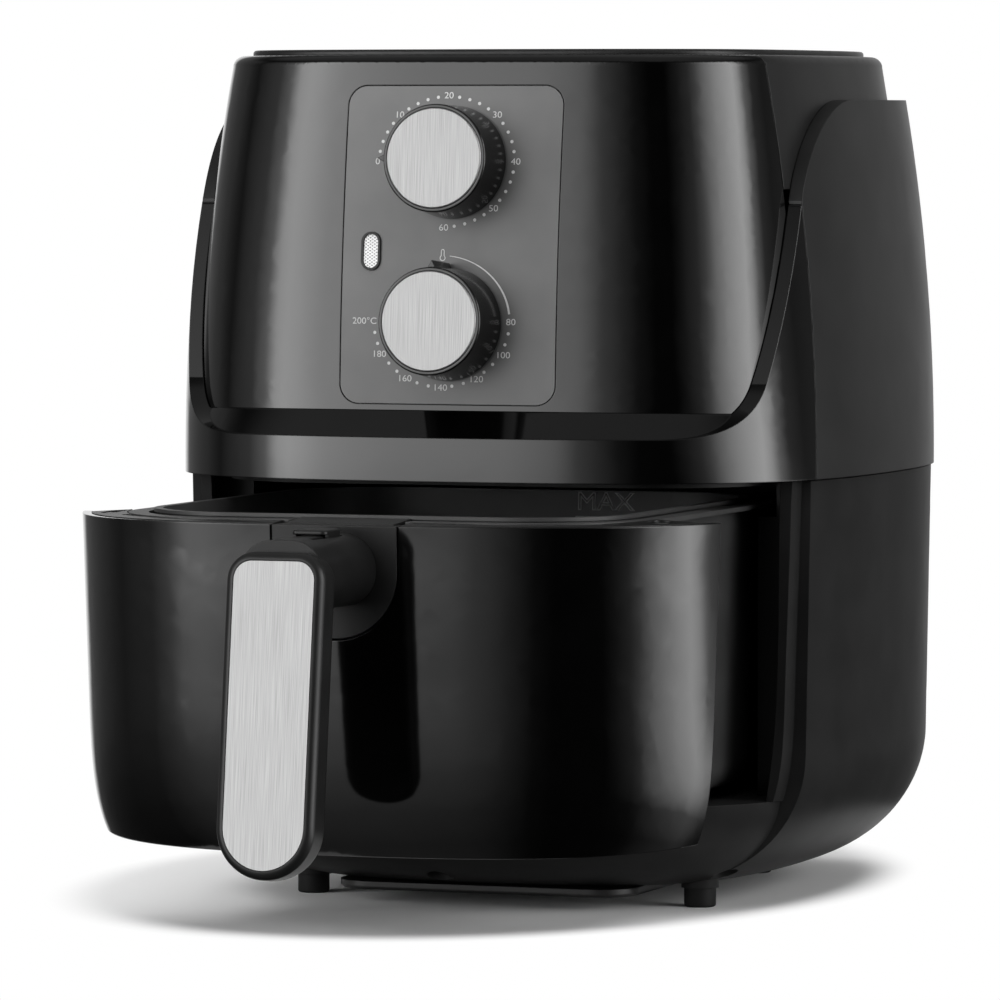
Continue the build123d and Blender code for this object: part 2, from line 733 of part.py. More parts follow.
# Drawer skin with the U slot for the handle bracket, made in its closed place
def tongue(half_w):
    """Front view of the handle bracket's tongue or of its slot: straight sides, round foot."""
    with BuildSketch(Plane.XZ) as shape:
        with Locations((0, BRACKET_MID_Z)):
            Circle(half_w)
        with Locations((0, (BRACKET_MID_Z + REACH) / 2)):
            Rectangle(2 * half_w, REACH - BRACKET_MID_Z)
    return shape.sketch


hem = radians(HEM_RISE)
hem_y = -drawer_half(DRAWER_BOTTOM) - DEPTH_MORE
with BuildPart() as drawer_front:
    loft(drawer_plans(0))
    loft(drawer_plans(DRAWER_WALL, DRAWER_BOTTOM - 1, DRAWER_TOP + 1), mode=Mode.SUBTRACT)
    split(bisect_by=front_of(DRAWER_END))
    split(bisect_by=Plane(origin=(0, hem_y, DRAWER_BOTTOM), z_dir=(0, -sin(hem), cos(hem))))
    extrude(tongue(BRACKET_HALF_W + SLOT_GAP), amount=REACH, mode=Mode.SUBTRACT)
save(drawer_front, "drawer_front", OPEN)

# Pan with its rim
pan_mid = (PAN_FRONT + PAN_BACK) / 2
pan_len = PAN_BACK - PAN_FRONT


def pan_outline(z, more):
    """Rounded rectangle of the pan's mouth, grown or shrunk all round."""
    with BuildSketch(Plane.XY.offset(z)) as outline:
        with Locations((0, pan_mid)):
            RectangleRounded(2 * (PAN_HALF_W + more), pan_len + 2 * more, PAN_CORNER + more)
    return outline.sketch


def pan_form(more, floor_z, bottom_r):
    """The pan's tapered form with a rounded bottom, grown or shrunk all round."""
    with BuildPart() as form:
        extrude(pan_outline(PAN_TOP, more), amount=floor_z - PAN_TOP, taper=PAN_TAPER)
        fillet(form.faces().sort_by(Axis.Z)[0].edges(), bottom_r)
    return form.part


with BuildPart() as pan:
    add(pan_form(0, PAN_FLOOR, PAN_BOTTOM_R))
    extrude(pan_outline(PAN_TOP, RIM_W), amount=-RIM_H)
    add(pan_form(-PAN_WALL, PAN_FLOOR + PAN_WALL, PAN_BOTTOM_R - PAN_WALL), mode=Mode.SUBTRACT)
    notch_back = PAN_FRONT + PAN_CORNER / 2
    notch = slab(-REACH, notch_back, NECK_LOW - NOTCH_GAP, REACH, NECK_HALF_W + NOTCH_GAP)
    add(notch, mode=Mode.SUBTRACT)
save(pan, "pan", OPEN)

# Trim that closes the top of the drawer skin and carries the pan's rim
slope_top = DRAWER_TOP + SLOPE_H
slope_half = drawer_half(DRAWER_TOP)
with BuildPart() as under_slope:
    add(slab(-REACH, REACH, 0, DRAWER_TOP))
    loft([plan(DRAWER_TOP, slope_half), plan(slope_top, slope_half - SLOPE_W)])


def rim_spots():
    """Places of the trim's slots on both sides, each with the turn of the skin there."""
    half_w = slope_half - DRAWER_WALL - TRIM_SLOT_IN
    half_d = half_w + DEPTH_MORE
    handle_x = PLAN_FULLNESS * half_w
    handle_y = PLAN_FULLNESS * half_d
    curve = Edge.make_bezier((0, -half_d), (handle_x, -half_d), (half_w, -handle_y), (half_w, 0))
    spots = []
    for share in TRIM_SHARES:
        spot, way = curve @ share, curve % share
        turn = degrees(atan2(way.Y, way.X))
        spots += [(spot.X, spot.Y, turn), (-spot.X, spot.Y, -turn)]
    return spots


ledge_z = PAN_TOP - RIM_H - FIT_GAP
trim_cut = -SLOPE_H - TRIM_SINK
with BuildPart() as drawer_trim:
    loft(drawer_plans(DRAWER_WALL + FIT_GAP, ledge_z - TRIM_T, slope_top))
    split(bisect_by=front_of(TRIM_END))
    add(under_slope.part, mode=Mode.INTERSECT)
    pan_room = pan_outline(slope_top + 1, RIM_W + TRIM_GAP)
    extrude(pan_room, amount=ledge_z - slope_top - 1, mode=Mode.SUBTRACT)
    extrude(pan_outline(slope_top + 1, TRIM_GAP), amount=-DRAWER_TOP / 4, mode=Mode.SUBTRACT)
    extrude(tongue(BRACKET_HALF_W + SLOT_GAP), amount=REACH, mode=Mode.SUBTRACT)
    with BuildSketch(Plane.XY.offset(slope_top)) as trim_slots:
        for x, y, turn in rim_spots():
            with Locations((x, y)):
                SlotOverall(TRIM_SLOT_L, TRIM_SLOT_W, rotation=turn)
    extrude(amount=trim_cut, mode=Mode.SUBTRACT)
    with BuildSketch(Plane.XY.offset(slope_top)) as trim_ovals:
        with Locations((OVAL_X, OVAL_Y), (-OVAL_X, OVAL_Y)):
            SlotOverall(OVAL_L, OVAL_W, rotation=90)
    extrude(amount=trim_cut, mode=Mode.SUBTRACT)
    with BuildSketch(Plane.XY.offset(slope_top)) as trim_holes:
        with Locations((OVAL_X, OVAL_Y), (-OVAL_X, OVAL_Y)):
            Circle(SCREW_SHANK_R)
    extrude(amount=-4 * TRIM_T, mode=Mode.SUBTRACT)
save(drawer_trim, "drawer_trim", OPEN)

with BuildPart() as drawer_screws:
    with BuildSketch(Plane.XY.offset(slope_top + trim_cut)) as trim_screw_heads:
        with Locations((OVAL_X, OVAL_Y), (-OVAL_X, OVAL_Y)):
            Circle(SCREW_HEAD_R)
    extrude(amount=TRIM_HEAD_H)
    with BuildSketch(Plane.XY.offset(slope_top + trim_cut)) as trim_screw_shanks:
        with Locations((OVAL_X, OVAL_Y), (-OVAL_X, OVAL_Y)):
            Circle(SCREW_SHANK_R)
    extrude(amount=-SCREW_SHANK_L)
save(drawer_screws, "drawer_screws", OPEN)

# Basket: open tube with an inner lip, a slotted grate on the lip and four pads
basket_in = -PAN_WALL - BASKET_GAP


def basket_form(more, floor_z):
    with BuildPart() as form:
        extrude(pan_outline(BASKET_TOP, basket_in + more), amount=floor_z - BASKET_TOP, taper=PAN_TAPER)
    return form.part


with BuildPart() as basket:
    add(basket_form(0, BASKET_FLOOR))
    extrude(pan_outline(BASKET_TOP, basket_in + BASKET_RIM), amount=-BASKET_WALL)
    add(basket_form(-BASKET_WALL, BASKET_FLOOR + BASKET_WALL), mode=Mode.SUBTRACT)
    lip_room = pan_outline(BASKET_FLOOR - 1, basket_in - BASKET_DRAFT - GRATE_EDGE)
    extrude(lip_room, amount=2 * BASKET_WALL + 1, mode=Mode.SUBTRACT)
    with BuildSketch(Plane.XZ) as wall_holes:
        with Locations((HANDLE_SCREW_X, ARM_MID_Z), (-HANDLE_SCREW_X, ARM_MID_Z)):
            Circle(SCREW_SHANK_R + FIT_GAP)
    extrude(amount=REACH, mode=Mode.SUBTRACT)
save(basket, "basket", OPEN)

grate_z = BASKET_FLOOR + BASKET_WALL + FIT_GAP
with BuildPart() as basket_floor:
    extrude(pan_outline(grate_z, basket_in - BASKET_DRAFT - BASKET_WALL - GRATE_RUN), amount=GRATE_H)
    with BuildSketch(Plane.XY.offset(grate_z)) as grate_slots:
        with Locations((0, pan_mid)):
            with GridLocations(SLOT_PITCH_X, SLOT_PITCH_Y, SLOT_COLUMNS, SLOT_ROWS):
                SlotOverall(SLOT_L, SLOT_W)
    extrude(amount=GRATE_H, mode=Mode.SUBTRACT)
save(basket_floor, "basket_floor", OPEN)

with BuildPart() as basket_pads:
    with BuildSketch(Plane.XY.offset(BASKET_FLOOR)) as pad_ends:
        with Locations((0, pan_mid)):
            with GridLocations(2 * (PAN_HALF_W - PAD_INSET), pan_len - 2 * PAD_INSET, 2, 2):
                Circle(PAD_R)
    extrude(amount=PAN_FLOOR + PAN_WALL + SLIDE_GAP - BASKET_FLOOR)
save(basket_pads, "basket_pads", OPEN)

# Handle bracket: tongue flush with the drawer skin, and a neck back to the basket's wall
skin_y = -drawer_half(BRACKET_MID_Z) - DEPTH_MORE
with BuildPart() as basket_room:
    add(basket_form(FIT_GAP, BASKET_FLOOR))
    extrude(pan_outline(BASKET_TOP + 1, basket_in + BASKET_RIM + FIT_GAP), amount=-BASKET_WALL - 2)

with BuildPart() as handle_bracket:
    loft(drawer_plans(0, DRAWER_BOTTOM, DRAWER_TOP))
    extrude(tongue(BRACKET_HALF_W), amount=REACH, mode=Mode.INTERSECT)
    add(slab(-REACH, skin_y + BRACKET_BACK, 0, REACH), mode=Mode.INTERSECT)
    add(slab(skin_y + BRACKET_BACK / 2, PAN_FRONT + PAN_CORNER / 4, NECK_LOW, NECK_TOP, NECK_HALF_W))
    add(under_slope.part, mode=Mode.INTERSECT)
    add(basket_room.part, mode=Mode.SUBTRACT)
    with BuildSketch(Plane.XZ.offset(-skin_y - BRACKET_BACK)) as neck_holes:
        with Locations((HANDLE_SCREW_X, ARM_MID_Z), (-HANDLE_SCREW_X, ARM_MID_Z)):
            Circle(SCREW_SHANK_R)
    extrude(amount=-REACH, mode=Mode.SUBTRACT)
save(handle_bracket, "handle_bracket", OPEN)

# Screws from inside the basket's wall into the neck
wall_y = PAN_FRONT - basket_in
with BuildPart() as handle_screws:
    with BuildSketch(Plane.XZ.offset(-wall_y - BASKET_WALL - 2)) as neck_screw_heads:
        with Locations((HANDLE_SCREW_X, ARM_MID_Z), (-HANDLE_SCREW_X, ARM_MID_Z)):
            Circle(SCREW_HEAD_R)
    extrude(amount=-HANDLE_HEAD_H)
    with BuildSketch(Plane.XZ.offset(-wall_y - BASKET_WALL - 2)) as neck_screw_shanks:
        with Locations((HANDLE_SCREW_X, ARM_MID_Z), (-HANDLE_SCREW_X, ARM_MID_Z)):
            Circle(SCREW_SHANK_R)
    extrude(amount=SCREW_SHANK_L)
save(handle_screws, "handle_screws", OPEN)

# Handle: round-cornered arm and a leaning grip with a recess for its plate
lean = radians(GRIP_LEAN)
grip_plane = Plane(
    origin=(0, skin_y - GRIP_FRONT, GRIP_TOP_Z),
    x_dir=(1, 0, 0),
    z_dir=(0, -cos(lean), sin(lean)),
)


def grip_outline(more, depth=0.0):
    """Front view of the grip, from its top down: small top corners, round foot."""
    half = GRIP_W / 2 + more
    with BuildSketch(grip_plane.offset(-depth)) as outline:
        with Locations((0, -GRIP_LEN / 2)):
            Rectangle(2 * half, GRIP_LEN + 2 * more)
        corners = outline.vertices().group_by(Axis.Y)
        fillet(corners[-1], GRIP_TOP_R + more)
        fillet(outline.vertices().group_by(Axis.Y)[0], half - 0.01)
    return outline.sketch


button_y = skin_y - BUTTON_OUT
arm_top = ARM_MID_Z + ARM_H / 2
runner_x = GUARD_PLATE_W / 2 - GUARD_RUNNER_W / 2
with BuildPart() as handle:
    extrude(grip_outline(0), amount=-GRIP_T)
    grip_axis = Axis((0, 0, 0), grip_plane.z_dir)
    fillet(handle.faces().sort_by(grip_axis)[-1].edges(), GRIP_EDGE_R)
    fillet(handle.faces().sort_by(grip_axis)[0].edges(), GRIP_BACK_R)
    with BuildSketch(Plane.XZ.offset(-skin_y - ARM_ROOT)) as arm_end:
        with Locations((0, ARM_MID_Z)):
            RectangleRounded(ARM_W, ARM_H, ARM_R)
    extrude(amount=ARM_END + ARM_ROOT)
    loft(drawer_plans(-FIT_GAP, DRAWER_BOTTOM, DRAWER_TOP), mode=Mode.SUBTRACT)
    extrude(grip_outline(-PLATE_INSET), amount=-PLATE_THICK - GLUE_GAP, mode=Mode.SUBTRACT)
    with BuildSketch(Plane.XY.offset(arm_top)) as button_well:
        with Locations((0, button_y)):
            well_r = BUTTON_R + BUTTON_GAP
            RectangleRounded(BUTTON_W + 2 * BUTTON_GAP, BUTTON_L + 2 * BUTTON_GAP, well_r)
    extrude(amount=-BUTTON_H - BUTTON_PRESS - BUTTON_GAP, mode=Mode.SUBTRACT)
    with BuildSketch(Plane.XY.offset(arm_top + 1)) as runner_grooves:
        mid_y = button_y - GUARD_SLIDE / 2
        with Locations((runner_x, mid_y), (-runner_x, mid_y)):
            Rectangle(GUARD_RUNNER_W + 2 * GUARD_RUN, GUARD_PLATE_L + GUARD_SLIDE + 1)
    extrude(amount=-GUARD_RUNNER_H - 1, mode=Mode.SUBTRACT)
save(handle, "handle", OPEN)

with BuildPart() as handle_plate:
    extrude(grip_outline(-PLATE_INSET - FIT_GAP, PLATE_THICK), amount=PLATE_THICK)
save(handle_plate, "handle_plate", OPEN)

with BuildPart() as release_button:
    with BuildSketch(Plane.XY.offset(arm_top + BUTTON_PROUD)) as button_top:
        with Locations((0, button_y)):
            RectangleRounded(BUTTON_W, BUTTON_L, BUTTON_R)
    extrude(amount=-BUTTON_H)
    fillet(release_button.faces().sort_by(Axis.Z)[-1].edges(), BUTTON_PROUD)
save(release_button, "release_button", OPEN)

guard_z = arm_top + BUTTON_PROUD + GUARD_LIFT
with BuildPart() as button_guard:
    with BuildSketch(Plane.XY.offset(guard_z)) as guard_plate:
        with Locations((0, button_y)):
            RectangleRounded(GUARD_PLATE_W, GUARD_PLATE_L, BUTTON_R)
    extrude(amount=GUARD_PLATE_T)
    fillet(button_guard.faces().sort_by(Axis.Z)[-1].edges(), GUARD_PLATE_T / 2)
    with BuildSketch(Plane.XY.offset(guard_z)) as guard_runners:
        with Locations((runner_x, button_y), (-runner_x, button_y)):
            Rectangle(GUARD_RUNNER_W, GUARD_PLATE_L - 2 * BUTTON_R)
    extrude(amount=arm_top - GUARD_RUNNER_H + GUARD_RUN - guard_z)
save(button_guard, "button_guard", OPEN)

# Knobs, their caps and shafts, and the units that they turn
def knob(plane, name, nub_turn):
    """Black knob with a pointed nub, a bore for its shaft and a seat for its cap."""
    with BuildPart() as body:
        with BuildSketch(plane.offset(KNOB_LIFT)) as foot:
            Circle(KNOB_BASE_R)
        with BuildSketch(plane.offset(KNOB_LIFT + KNOB_H)) as face:
            Circle(KNOB_FACE_R)
        loft()
        rim = body.edges().filter_by(GeomType.CIRCLE).sort_by_distance(plane.offset(REACH).origin)[0]
        fillet(rim, KNOB_EDGE_R)
        with BuildSketch(plane.offset(KNOB_LIFT)) as nub:
            with BuildLine(Plane.XY.rotated((0, 0, nub_turn))):
                Polyline(
                    (KNOB_FACE_R - NUB_IN, -NUB_W / 2),
                    (KNOB_FACE_R + NUB_OUT, 0),
                    (KNOB_FACE_R - NUB_IN, NUB_W / 2),
                    close=True,
                )
            make_face()
        extrude(amount=KNOB_H - NUB_SHORT)
        with BuildSketch(plane.offset(KNOB_LIFT + KNOB_H)) as seat:
            Circle(KNOB_CAP_R + FIT_GAP / 2)
        extrude(amount=-KNOB_CAP_H, mode=Mode.SUBTRACT)
        with BuildSketch(plane.offset(KNOB_LIFT)) as bore:
            Circle(SHAFT_R)
        extrude(amount=KNOB_BORE, mode=Mode.SUBTRACT)
    save(body, name)


def knob_cap(plane, name):
    with BuildPart() as cap:
        with BuildSketch(plane.offset(KNOB_LIFT + KNOB_H - KNOB_CAP_H)) as disc:
            Circle(KNOB_CAP_R)
        extrude(amount=KNOB_CAP_H + CAP_PROUD)
        rim = cap.edges().filter_by(GeomType.CIRCLE).sort_by_distance(plane.offset(REACH).origin)[0]
        fillet(rim, CAP_PROUD)
    save(cap, name)


def knob_shaft(plane, name):
    with BuildPart() as shaft:
        with BuildSketch(plane.offset(-UNIT_BACK / 2)) as end:
            Circle(SHAFT_R)
        extrude(amount=UNIT_BACK / 2 + KNOB_LIFT + KNOB_BORE)
    save(shaft, name)


def knob_unit(plane, name, width, height):
    """Switch body behind the panel, with a neck through it and three tabs at its back."""
    with BuildPart() as unit:
        with BuildSketch(plane.offset(-UNIT_FRONT)) as case:
            RectangleRounded(width, height, UNIT_CORNER)
        extrude(amount=UNIT_FRONT - UNIT_BACK)
        with BuildSketch(plane.offset(-UNIT_FRONT)) as neck:
            Circle(NECK_R)
        extrude(amount=UNIT_FRONT + NECK_OUT)
        with BuildSketch(plane.offset(-UNIT_BACK)) as tabs:
            with GridLocations(TAB_PITCH, 0, 3, 1):
                Rectangle(TAB_T, TAB_W)
        extrude(amount=-TAB_L)
        with BuildSketch(plane.offset(-UNIT_BACK / 2 - 1)) as bore:
            Circle(SHAFT_R + SHAFT_RUN)
        extrude(amount=UNIT_BACK, mode=Mode.SUBTRACT)
    save(unit, name)


knob(timer_plane, "timer_knob", 180)
knob_cap(timer_plane, "timer_cap")
knob_shaft(timer_plane, "timer_shaft")
knob_unit(timer_plane, "timer_unit", TIMER_UNIT_W, TIMER_UNIT_H)
knob(thermo_plane, "temperature_knob", 90)
knob_cap(thermo_plane, "temperature_cap")
knob_shaft(thermo_plane, "thermostat_shaft")
knob_unit(thermo_plane, "thermostat_unit", THERMO_UNIT_W, THERMO_UNIT_H)

# Indicator: bezel in the inlay, lens through the panel, lamp behind it
bezel_depth = LENS_SINK + PANEL_THICK - FIT_GAP
with BuildPart() as indicator_bezel:
    with BuildSketch(lens_plane.offset(-bezel_depth)) as bezel:
        SlotOverall(LENS_H + 2 * BEZEL_W - FIT_GAP, LENS_W + 2 * BEZEL_W - FIT_GAP, rotation=90)
        SlotOverall(LENS_H + FIT_GAP, LENS_W + FIT_GAP, rotation=90, mode=Mode.SUBTRACT)
    extrude(amount=PANEL_THICK + BEZEL_PROUD)
save(indicator_bezel, "indicator_bezel")

with BuildPart() as indicator_lens:
    with BuildSketch(lens_plane.offset(-LENS_SINK - LENS_DEEP)) as lens:
        SlotOverall(LENS_H, LENS_W, rotation=90)
    extrude(amount=LENS_DEEP + BEZEL_PROUD / 2)
save(indicator_lens, "indicator_lens")

with BuildPart() as indicator_lamp:
    with BuildSketch(lens_plane.offset(-LENS_SINK - LENS_DEEP)) as lamp:
        Circle(LAMP_R)
    extrude(amount=-LAMP_L)
save(indicator_lamp, "indicator_lamp")

# Heating chamber round and above the pan
with BuildPart() as drawer_frame:
    loft(tub_space_plans(SKIN_WALL + FIT_GAP, SILL_Z + FIT_GAP, LINER_TOP))
    frame_slice = slab(FRAME_Y, FRAME_Y + FRAME_T, SILL_Z + FIT_GAP, LINER_TOP)
    add(frame_slice, mode=Mode.INTERSECT)
    pan_way = slab(-REACH, REACH, 0, REACH, PAN_HALF_W + PAN_RUN)
    add(pan_way, mode=Mode.SUBTRACT)
    rim_low = PAN_TOP - RIM_H - RIM_RUN
    rim_way = slab(-REACH, REACH, rim_low, REACH, PAN_HALF_W + RIM_W + RIM_RUN)
    add(rim_way, mode=Mode.SUBTRACT)
save(drawer_frame, "drawer_frame")

liner_front = FRAME_Y + FRAME_T + FIT_GAP
with BuildPart() as chamber_liner:
    with BuildSketch(Plane.XY.offset(SILL_Z + FIT_GAP)) as liner_wall:
        liner_len = LINER_BACK - liner_front
        with Locations((0, liner_front)):
            Rectangle(2 * LINER_HALF_W, liner_len, align=(Align.CENTER, Align.MIN))
        fillet(liner_wall.vertices().group_by(Axis.Y)[-1], LINER_CORNER)
        offset(amount=-LINER_WALL, mode=Mode.SUBTRACT)
        with Locations((0, liner_front)):
            Rectangle(2 * (LINER_HALF_W - LINER_WALL), 4 * LINER_WALL, mode=Mode.SUBTRACT)
    extrude(amount=LINER_TOP - SILL_Z - FIT_GAP)
save(chamber_liner, "chamber_liner")

fan_axis = (0, pan_mid)
with BuildPart() as heater_hood:
    hood_len = LINER_BACK - HOOD_FRONT
    with BuildSketch(Plane.XY.offset(LINER_TOP + FIT_GAP)) as hood_outline:
        with Locations((0, (LINER_BACK + HOOD_FRONT) / 2)):
            RectangleRounded(2 * LINER_HALF_W, hood_len, LINER_CORNER)
    extrude(amount=HOOD_TOP - LINER_TOP - FIT_GAP)
    fillet(heater_hood.faces().sort_by(Axis.Z)[-1].edges(), HOOD_ROUND)
    offset(amount=-LINER_WALL, openings=heater_hood.faces().sort_by(Axis.Z)[0])
    with BuildSketch(Plane.XY.offset(HOOD_TOP)) as hood_holes:
        with Locations(fan_axis):
            Circle(SHAFT_HOLE_R)
        with Locations((ELEMENT_OUT, pan_mid), (ELEMENT_IN, pan_mid)):
            Circle(LEG_SLEEVE_R + FIT_GAP)
    extrude(amount=-4 * LINER_WALL, mode=Mode.SUBTRACT)
save(heater_hood, "heater_hood")

# Heating element: one tube, a flat spiral whose two ends rise through the hood
spiral = []
for step in range(ELEMENT_TURNS * 8 + 1):
    turn = 2 * pi * step / 8
    reach = ELEMENT_IN + (ELEMENT_OUT - ELEMENT_IN) * step / (ELEMENT_TURNS * 8)
    spiral.append((reach * cos(turn), pan_mid + reach * sin(turn), ELEMENT_Z))
with BuildPart() as heating_element:
    with BuildLine() as element_path:
        Spline(*spiral)
    with BuildSketch(Plane(origin=spiral[0], z_dir=element_path.wires()[0] % 0)) as element_end:
        Circle(ELEMENT_R)
    sweep()
    for end in (spiral[0], spiral[-1]):
        with BuildSketch(Plane.XY.offset(ELEMENT_Z - LEG_SLEEVE_R)) as element_leg:
            with Locations(end[:2]):
                Circle(LEG_SLEEVE_R)
        extrude(amount=HOOD_TOP - ELEMENT_Z + LEG_SLEEVE_R + ELEMENT_LEG)
save(heating_element, "heating_element")

# Least room between the spiral's turns, measured on points of its middle line
path = element_path.wires()[0]
marks = [path @ (step / 120) for step in range(121)]
least = min(dist(tuple(a), tuple(b)) for i, a in enumerate(marks) for b in marks[i + 20 :])
print("least gap between the element's turns:", round(least - 2 * ELEMENT_R, 2), "mm")

# Clips that hang the element from the hood, and the guard below it
with BuildPart() as element_clips:
    with BuildSketch(Plane.XY.offset(ELEMENT_Z + ELEMENT_R + FIT_GAP)) as clip_feet:
        with Locations(fan_axis):
            with PolarLocations((ELEMENT_IN + ELEMENT_OUT) / 2, 3, 60):
                Rectangle(ELEMENT_OUT - ELEMENT_IN + CLIP_MORE, CLIP_W)
    extrude(amount=CLIP_T)
    with BuildSketch(Plane.XY.offset(ELEMENT_Z + ELEMENT_R + FIT_GAP)) as clip_posts:
        with Locations(fan_axis):
            with PolarLocations((ELEMENT_IN + ELEMENT_OUT) / 2, 3, 60):
                Circle(LEG_R)
    extrude(amount=HOOD_TOP - LINER_WALL - FIT_GAP - ELEMENT_Z - ELEMENT_R - FIT_GAP)
save(element_clips, "element_clips")

with BuildPart() as element_guard:
    with BuildSketch(Plane.XY.offset(GUARD_Z)) as guard_rings:
        with Locations(fan_axis):
            for reach in levels(GUARD_W * 2, GUARD_R, 4):
                Circle(reach)
                Circle(reach - GUARD_W, mode=Mode.SUBTRACT)
            with PolarLocations(GUARD_R / 2, 6):
                Rectangle(GUARD_R - GUARD_W, GUARD_W)
            ear_end = LINER_HALF_W - LINER_WALL - FIT_GAP
            ear_start = GUARD_R - GUARD_W
            with PolarLocations((ear_start + ear_end) / 2, 2):
                Rectangle(ear_end - ear_start, EAR_W)
    extrude(amount=GUARD_T)
save(element_guard, "element_guard")

# Fan body: shaft, hot-air fan below the hood's top, cooling fan above it
with BuildPart() as motor_shaft:
    with BuildSketch(Plane.XY.offset(FAN_Z)) as shaft_end:
        with Locations(fan_axis):
            Circle(SHAFT_R)
    extrude(amount=MOTOR_Z + MOTOR_H + SHAFT_OUT - FAN_Z)
save(motor_shaft, "motor_shaft")


def fan(name, z, radius, height, hub_r):
    """A disc with upright blades and a hub on the shaft."""
    with BuildPart() as wheel:
        with BuildSketch(Plane.XY.offset(z)) as hub:
            with Locations(fan_axis):
                Circle(hub_r)
        extrude(amount=height)
        with BuildSketch(Plane.XY.offset(z + height - BLADE_T)) as disc:
            with Locations(fan_axis):
                Circle(radius)
        extrude(amount=BLADE_T)
        with BuildSketch(Plane.XY.offset(z + 1)) as blades:
            with Locations(fan_axis):
                with PolarLocations((radius + hub_r) / 2, FAN_BLADES):
                    Rectangle(radius - hub_r + 2, BLADE_T, rotation=BLADE_TURN)
        extrude(amount=height - 1 - BLADE_T / 2)
        with BuildSketch(Plane.XY.offset(z - 1)) as bore:
            with Locations(fan_axis):
                Circle(SHAFT_R)
        extrude(amount=height + 2, mode=Mode.SUBTRACT)
    save(wheel, name)


fan("hot_air_fan", FAN_Z + 1, FAN_R, BLADE_H, FAN_HUB_R)
fan("cooling_fan", COOLER_Z, COOLER_R, COOLER_H, COOLER_HUB_R)

with BuildPart() as motor_bracket:
    plate_z = MOTOR_Z - BRACKET_T
    with BuildSketch(Plane.XY.offset(plate_z)) as bracket_plate:
        with Locations(fan_axis):
            RectangleRounded(2 * BRACKET_R, 2 * BRACKET_R, BRACKET_CORNER)
            Circle(3 * SHAFT_HOLE_R, mode=Mode.SUBTRACT)
    extrude(amount=BRACKET_T - FIT_GAP)
    with BuildSketch(Plane.XY.offset(HOOD_TOP + FIT_GAP)) as bracket_legs:
        with Locations(fan_axis):
            leg_pitch = 2 * (BRACKET_R - LEG_INSET)
            with GridLocations(leg_pitch, leg_pitch, 2, 2):
                Circle(LEG_R)
    extrude(amount=plate_z - HOOD_TOP - FIT_GAP)
save(motor_bracket, "motor_bracket")

with BuildPart() as motor:
    with BuildSketch(Plane.XY.offset(MOTOR_Z)) as motor_can:
        with Locations(fan_axis):
            Circle(MOTOR_R)
    extrude(amount=MOTOR_H)
    fillet(motor.edges().group_by(Axis.Z)[-1], MOTOR_ROUND)
    with BuildSketch(Plane.XY.offset(MOTOR_Z + MOTOR_H)) as motor_boss:
        with Locations(fan_axis):
            Circle(MOTOR_BOSS_R)
    extrude(amount=MOTOR_BOSS_H)
    with BuildSketch(Plane.XY.offset(MOTOR_Z)) as motor_bore:
        with Locations(fan_axis):
            Circle(SHAFT_R + SHAFT_RUN)
    extrude(amount=MOTOR_H + MOTOR_BOSS_H, mode=Mode.SUBTRACT)
save(motor, "motor")

switch_y = FRAME_Y + FRAME_T + FIT_GAP
switch_align = (Align.CENTER, Align.MIN, Align.CENTER)
with BuildPart() as drawer_switch:
    with Locations((SWITCH_X, switch_y, SWITCH_Z)):
        Box(SWITCH_W, SWITCH_L, SWITCH_H, align=switch_align)
    with Locations((SWITCH_X, switch_y + SWITCH_L, SWITCH_Z)):
        Box(TAB_T, SWITCH_TAB_L, SWITCH_TAB_H, align=switch_align)
save(drawer_switch, "drawer_switch")
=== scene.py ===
"""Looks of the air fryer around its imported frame: finishes, printed dials, studio, table and camera.

Metres, +Z up, front towards -Y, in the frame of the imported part.
"""

import math

import bpy
from mathutils import Matrix, Vector
from mathutils.bvhtree import BVHTree


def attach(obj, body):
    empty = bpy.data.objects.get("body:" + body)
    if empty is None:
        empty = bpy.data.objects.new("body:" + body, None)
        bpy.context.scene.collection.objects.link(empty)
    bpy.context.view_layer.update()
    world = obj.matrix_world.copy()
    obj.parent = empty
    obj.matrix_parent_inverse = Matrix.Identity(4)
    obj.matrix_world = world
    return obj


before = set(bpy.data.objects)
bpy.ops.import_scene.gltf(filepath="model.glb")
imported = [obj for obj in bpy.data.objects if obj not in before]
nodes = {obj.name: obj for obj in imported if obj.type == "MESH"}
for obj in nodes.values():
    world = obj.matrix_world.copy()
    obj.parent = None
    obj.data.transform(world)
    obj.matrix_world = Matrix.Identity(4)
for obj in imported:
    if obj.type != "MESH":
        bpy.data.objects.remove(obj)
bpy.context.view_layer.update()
MM = 0.001

# Camera, found from the photograph's outline
PICTURE_PX = 1000
FOCAL_PX = 7595.6
SENSOR_MM = 36.0
CAMERA_TURN = math.radians(19.708)
CAMERA_AWAY = 2.8201
CAMERA_HEIGHT = 0.2857
CAMERA_DIP = math.radians(2.906)
CLIP_START, CLIP_END = 0.1, 60
AIM_ASIDE_PX = 65.46

# Textures: the part of a noise that its two greys span, and the noises' scales and detail
RAMP_ENDS = 0.3, 0.7
TINT_SCALE = 60
SHEEN_SCALE = 35
CLOUD_SCALE = 140
FINE_DETAIL = 3
STREAK_DETAIL = 4
STREAK_RELIEF = 4e-6

# Moulded edges look rounded off by about this much
EDGE_ROUND = 0.5 * MM
EDGE_SAMPLES = 6

# White print
INK_SCALE = 900
INK_GREYS = 0.50, 0.58
INK_ROUGH = 0.6

# Pattern of the lamp's lens: two sets of bands that lean to either side
LENS_LEAN = math.radians(55)
LENS_BANDS = 330
LENS_GREYS = 0.25, 0.9
LENS_RELIEF = 0.1 * MM
LENS_ROUGH = 0.3

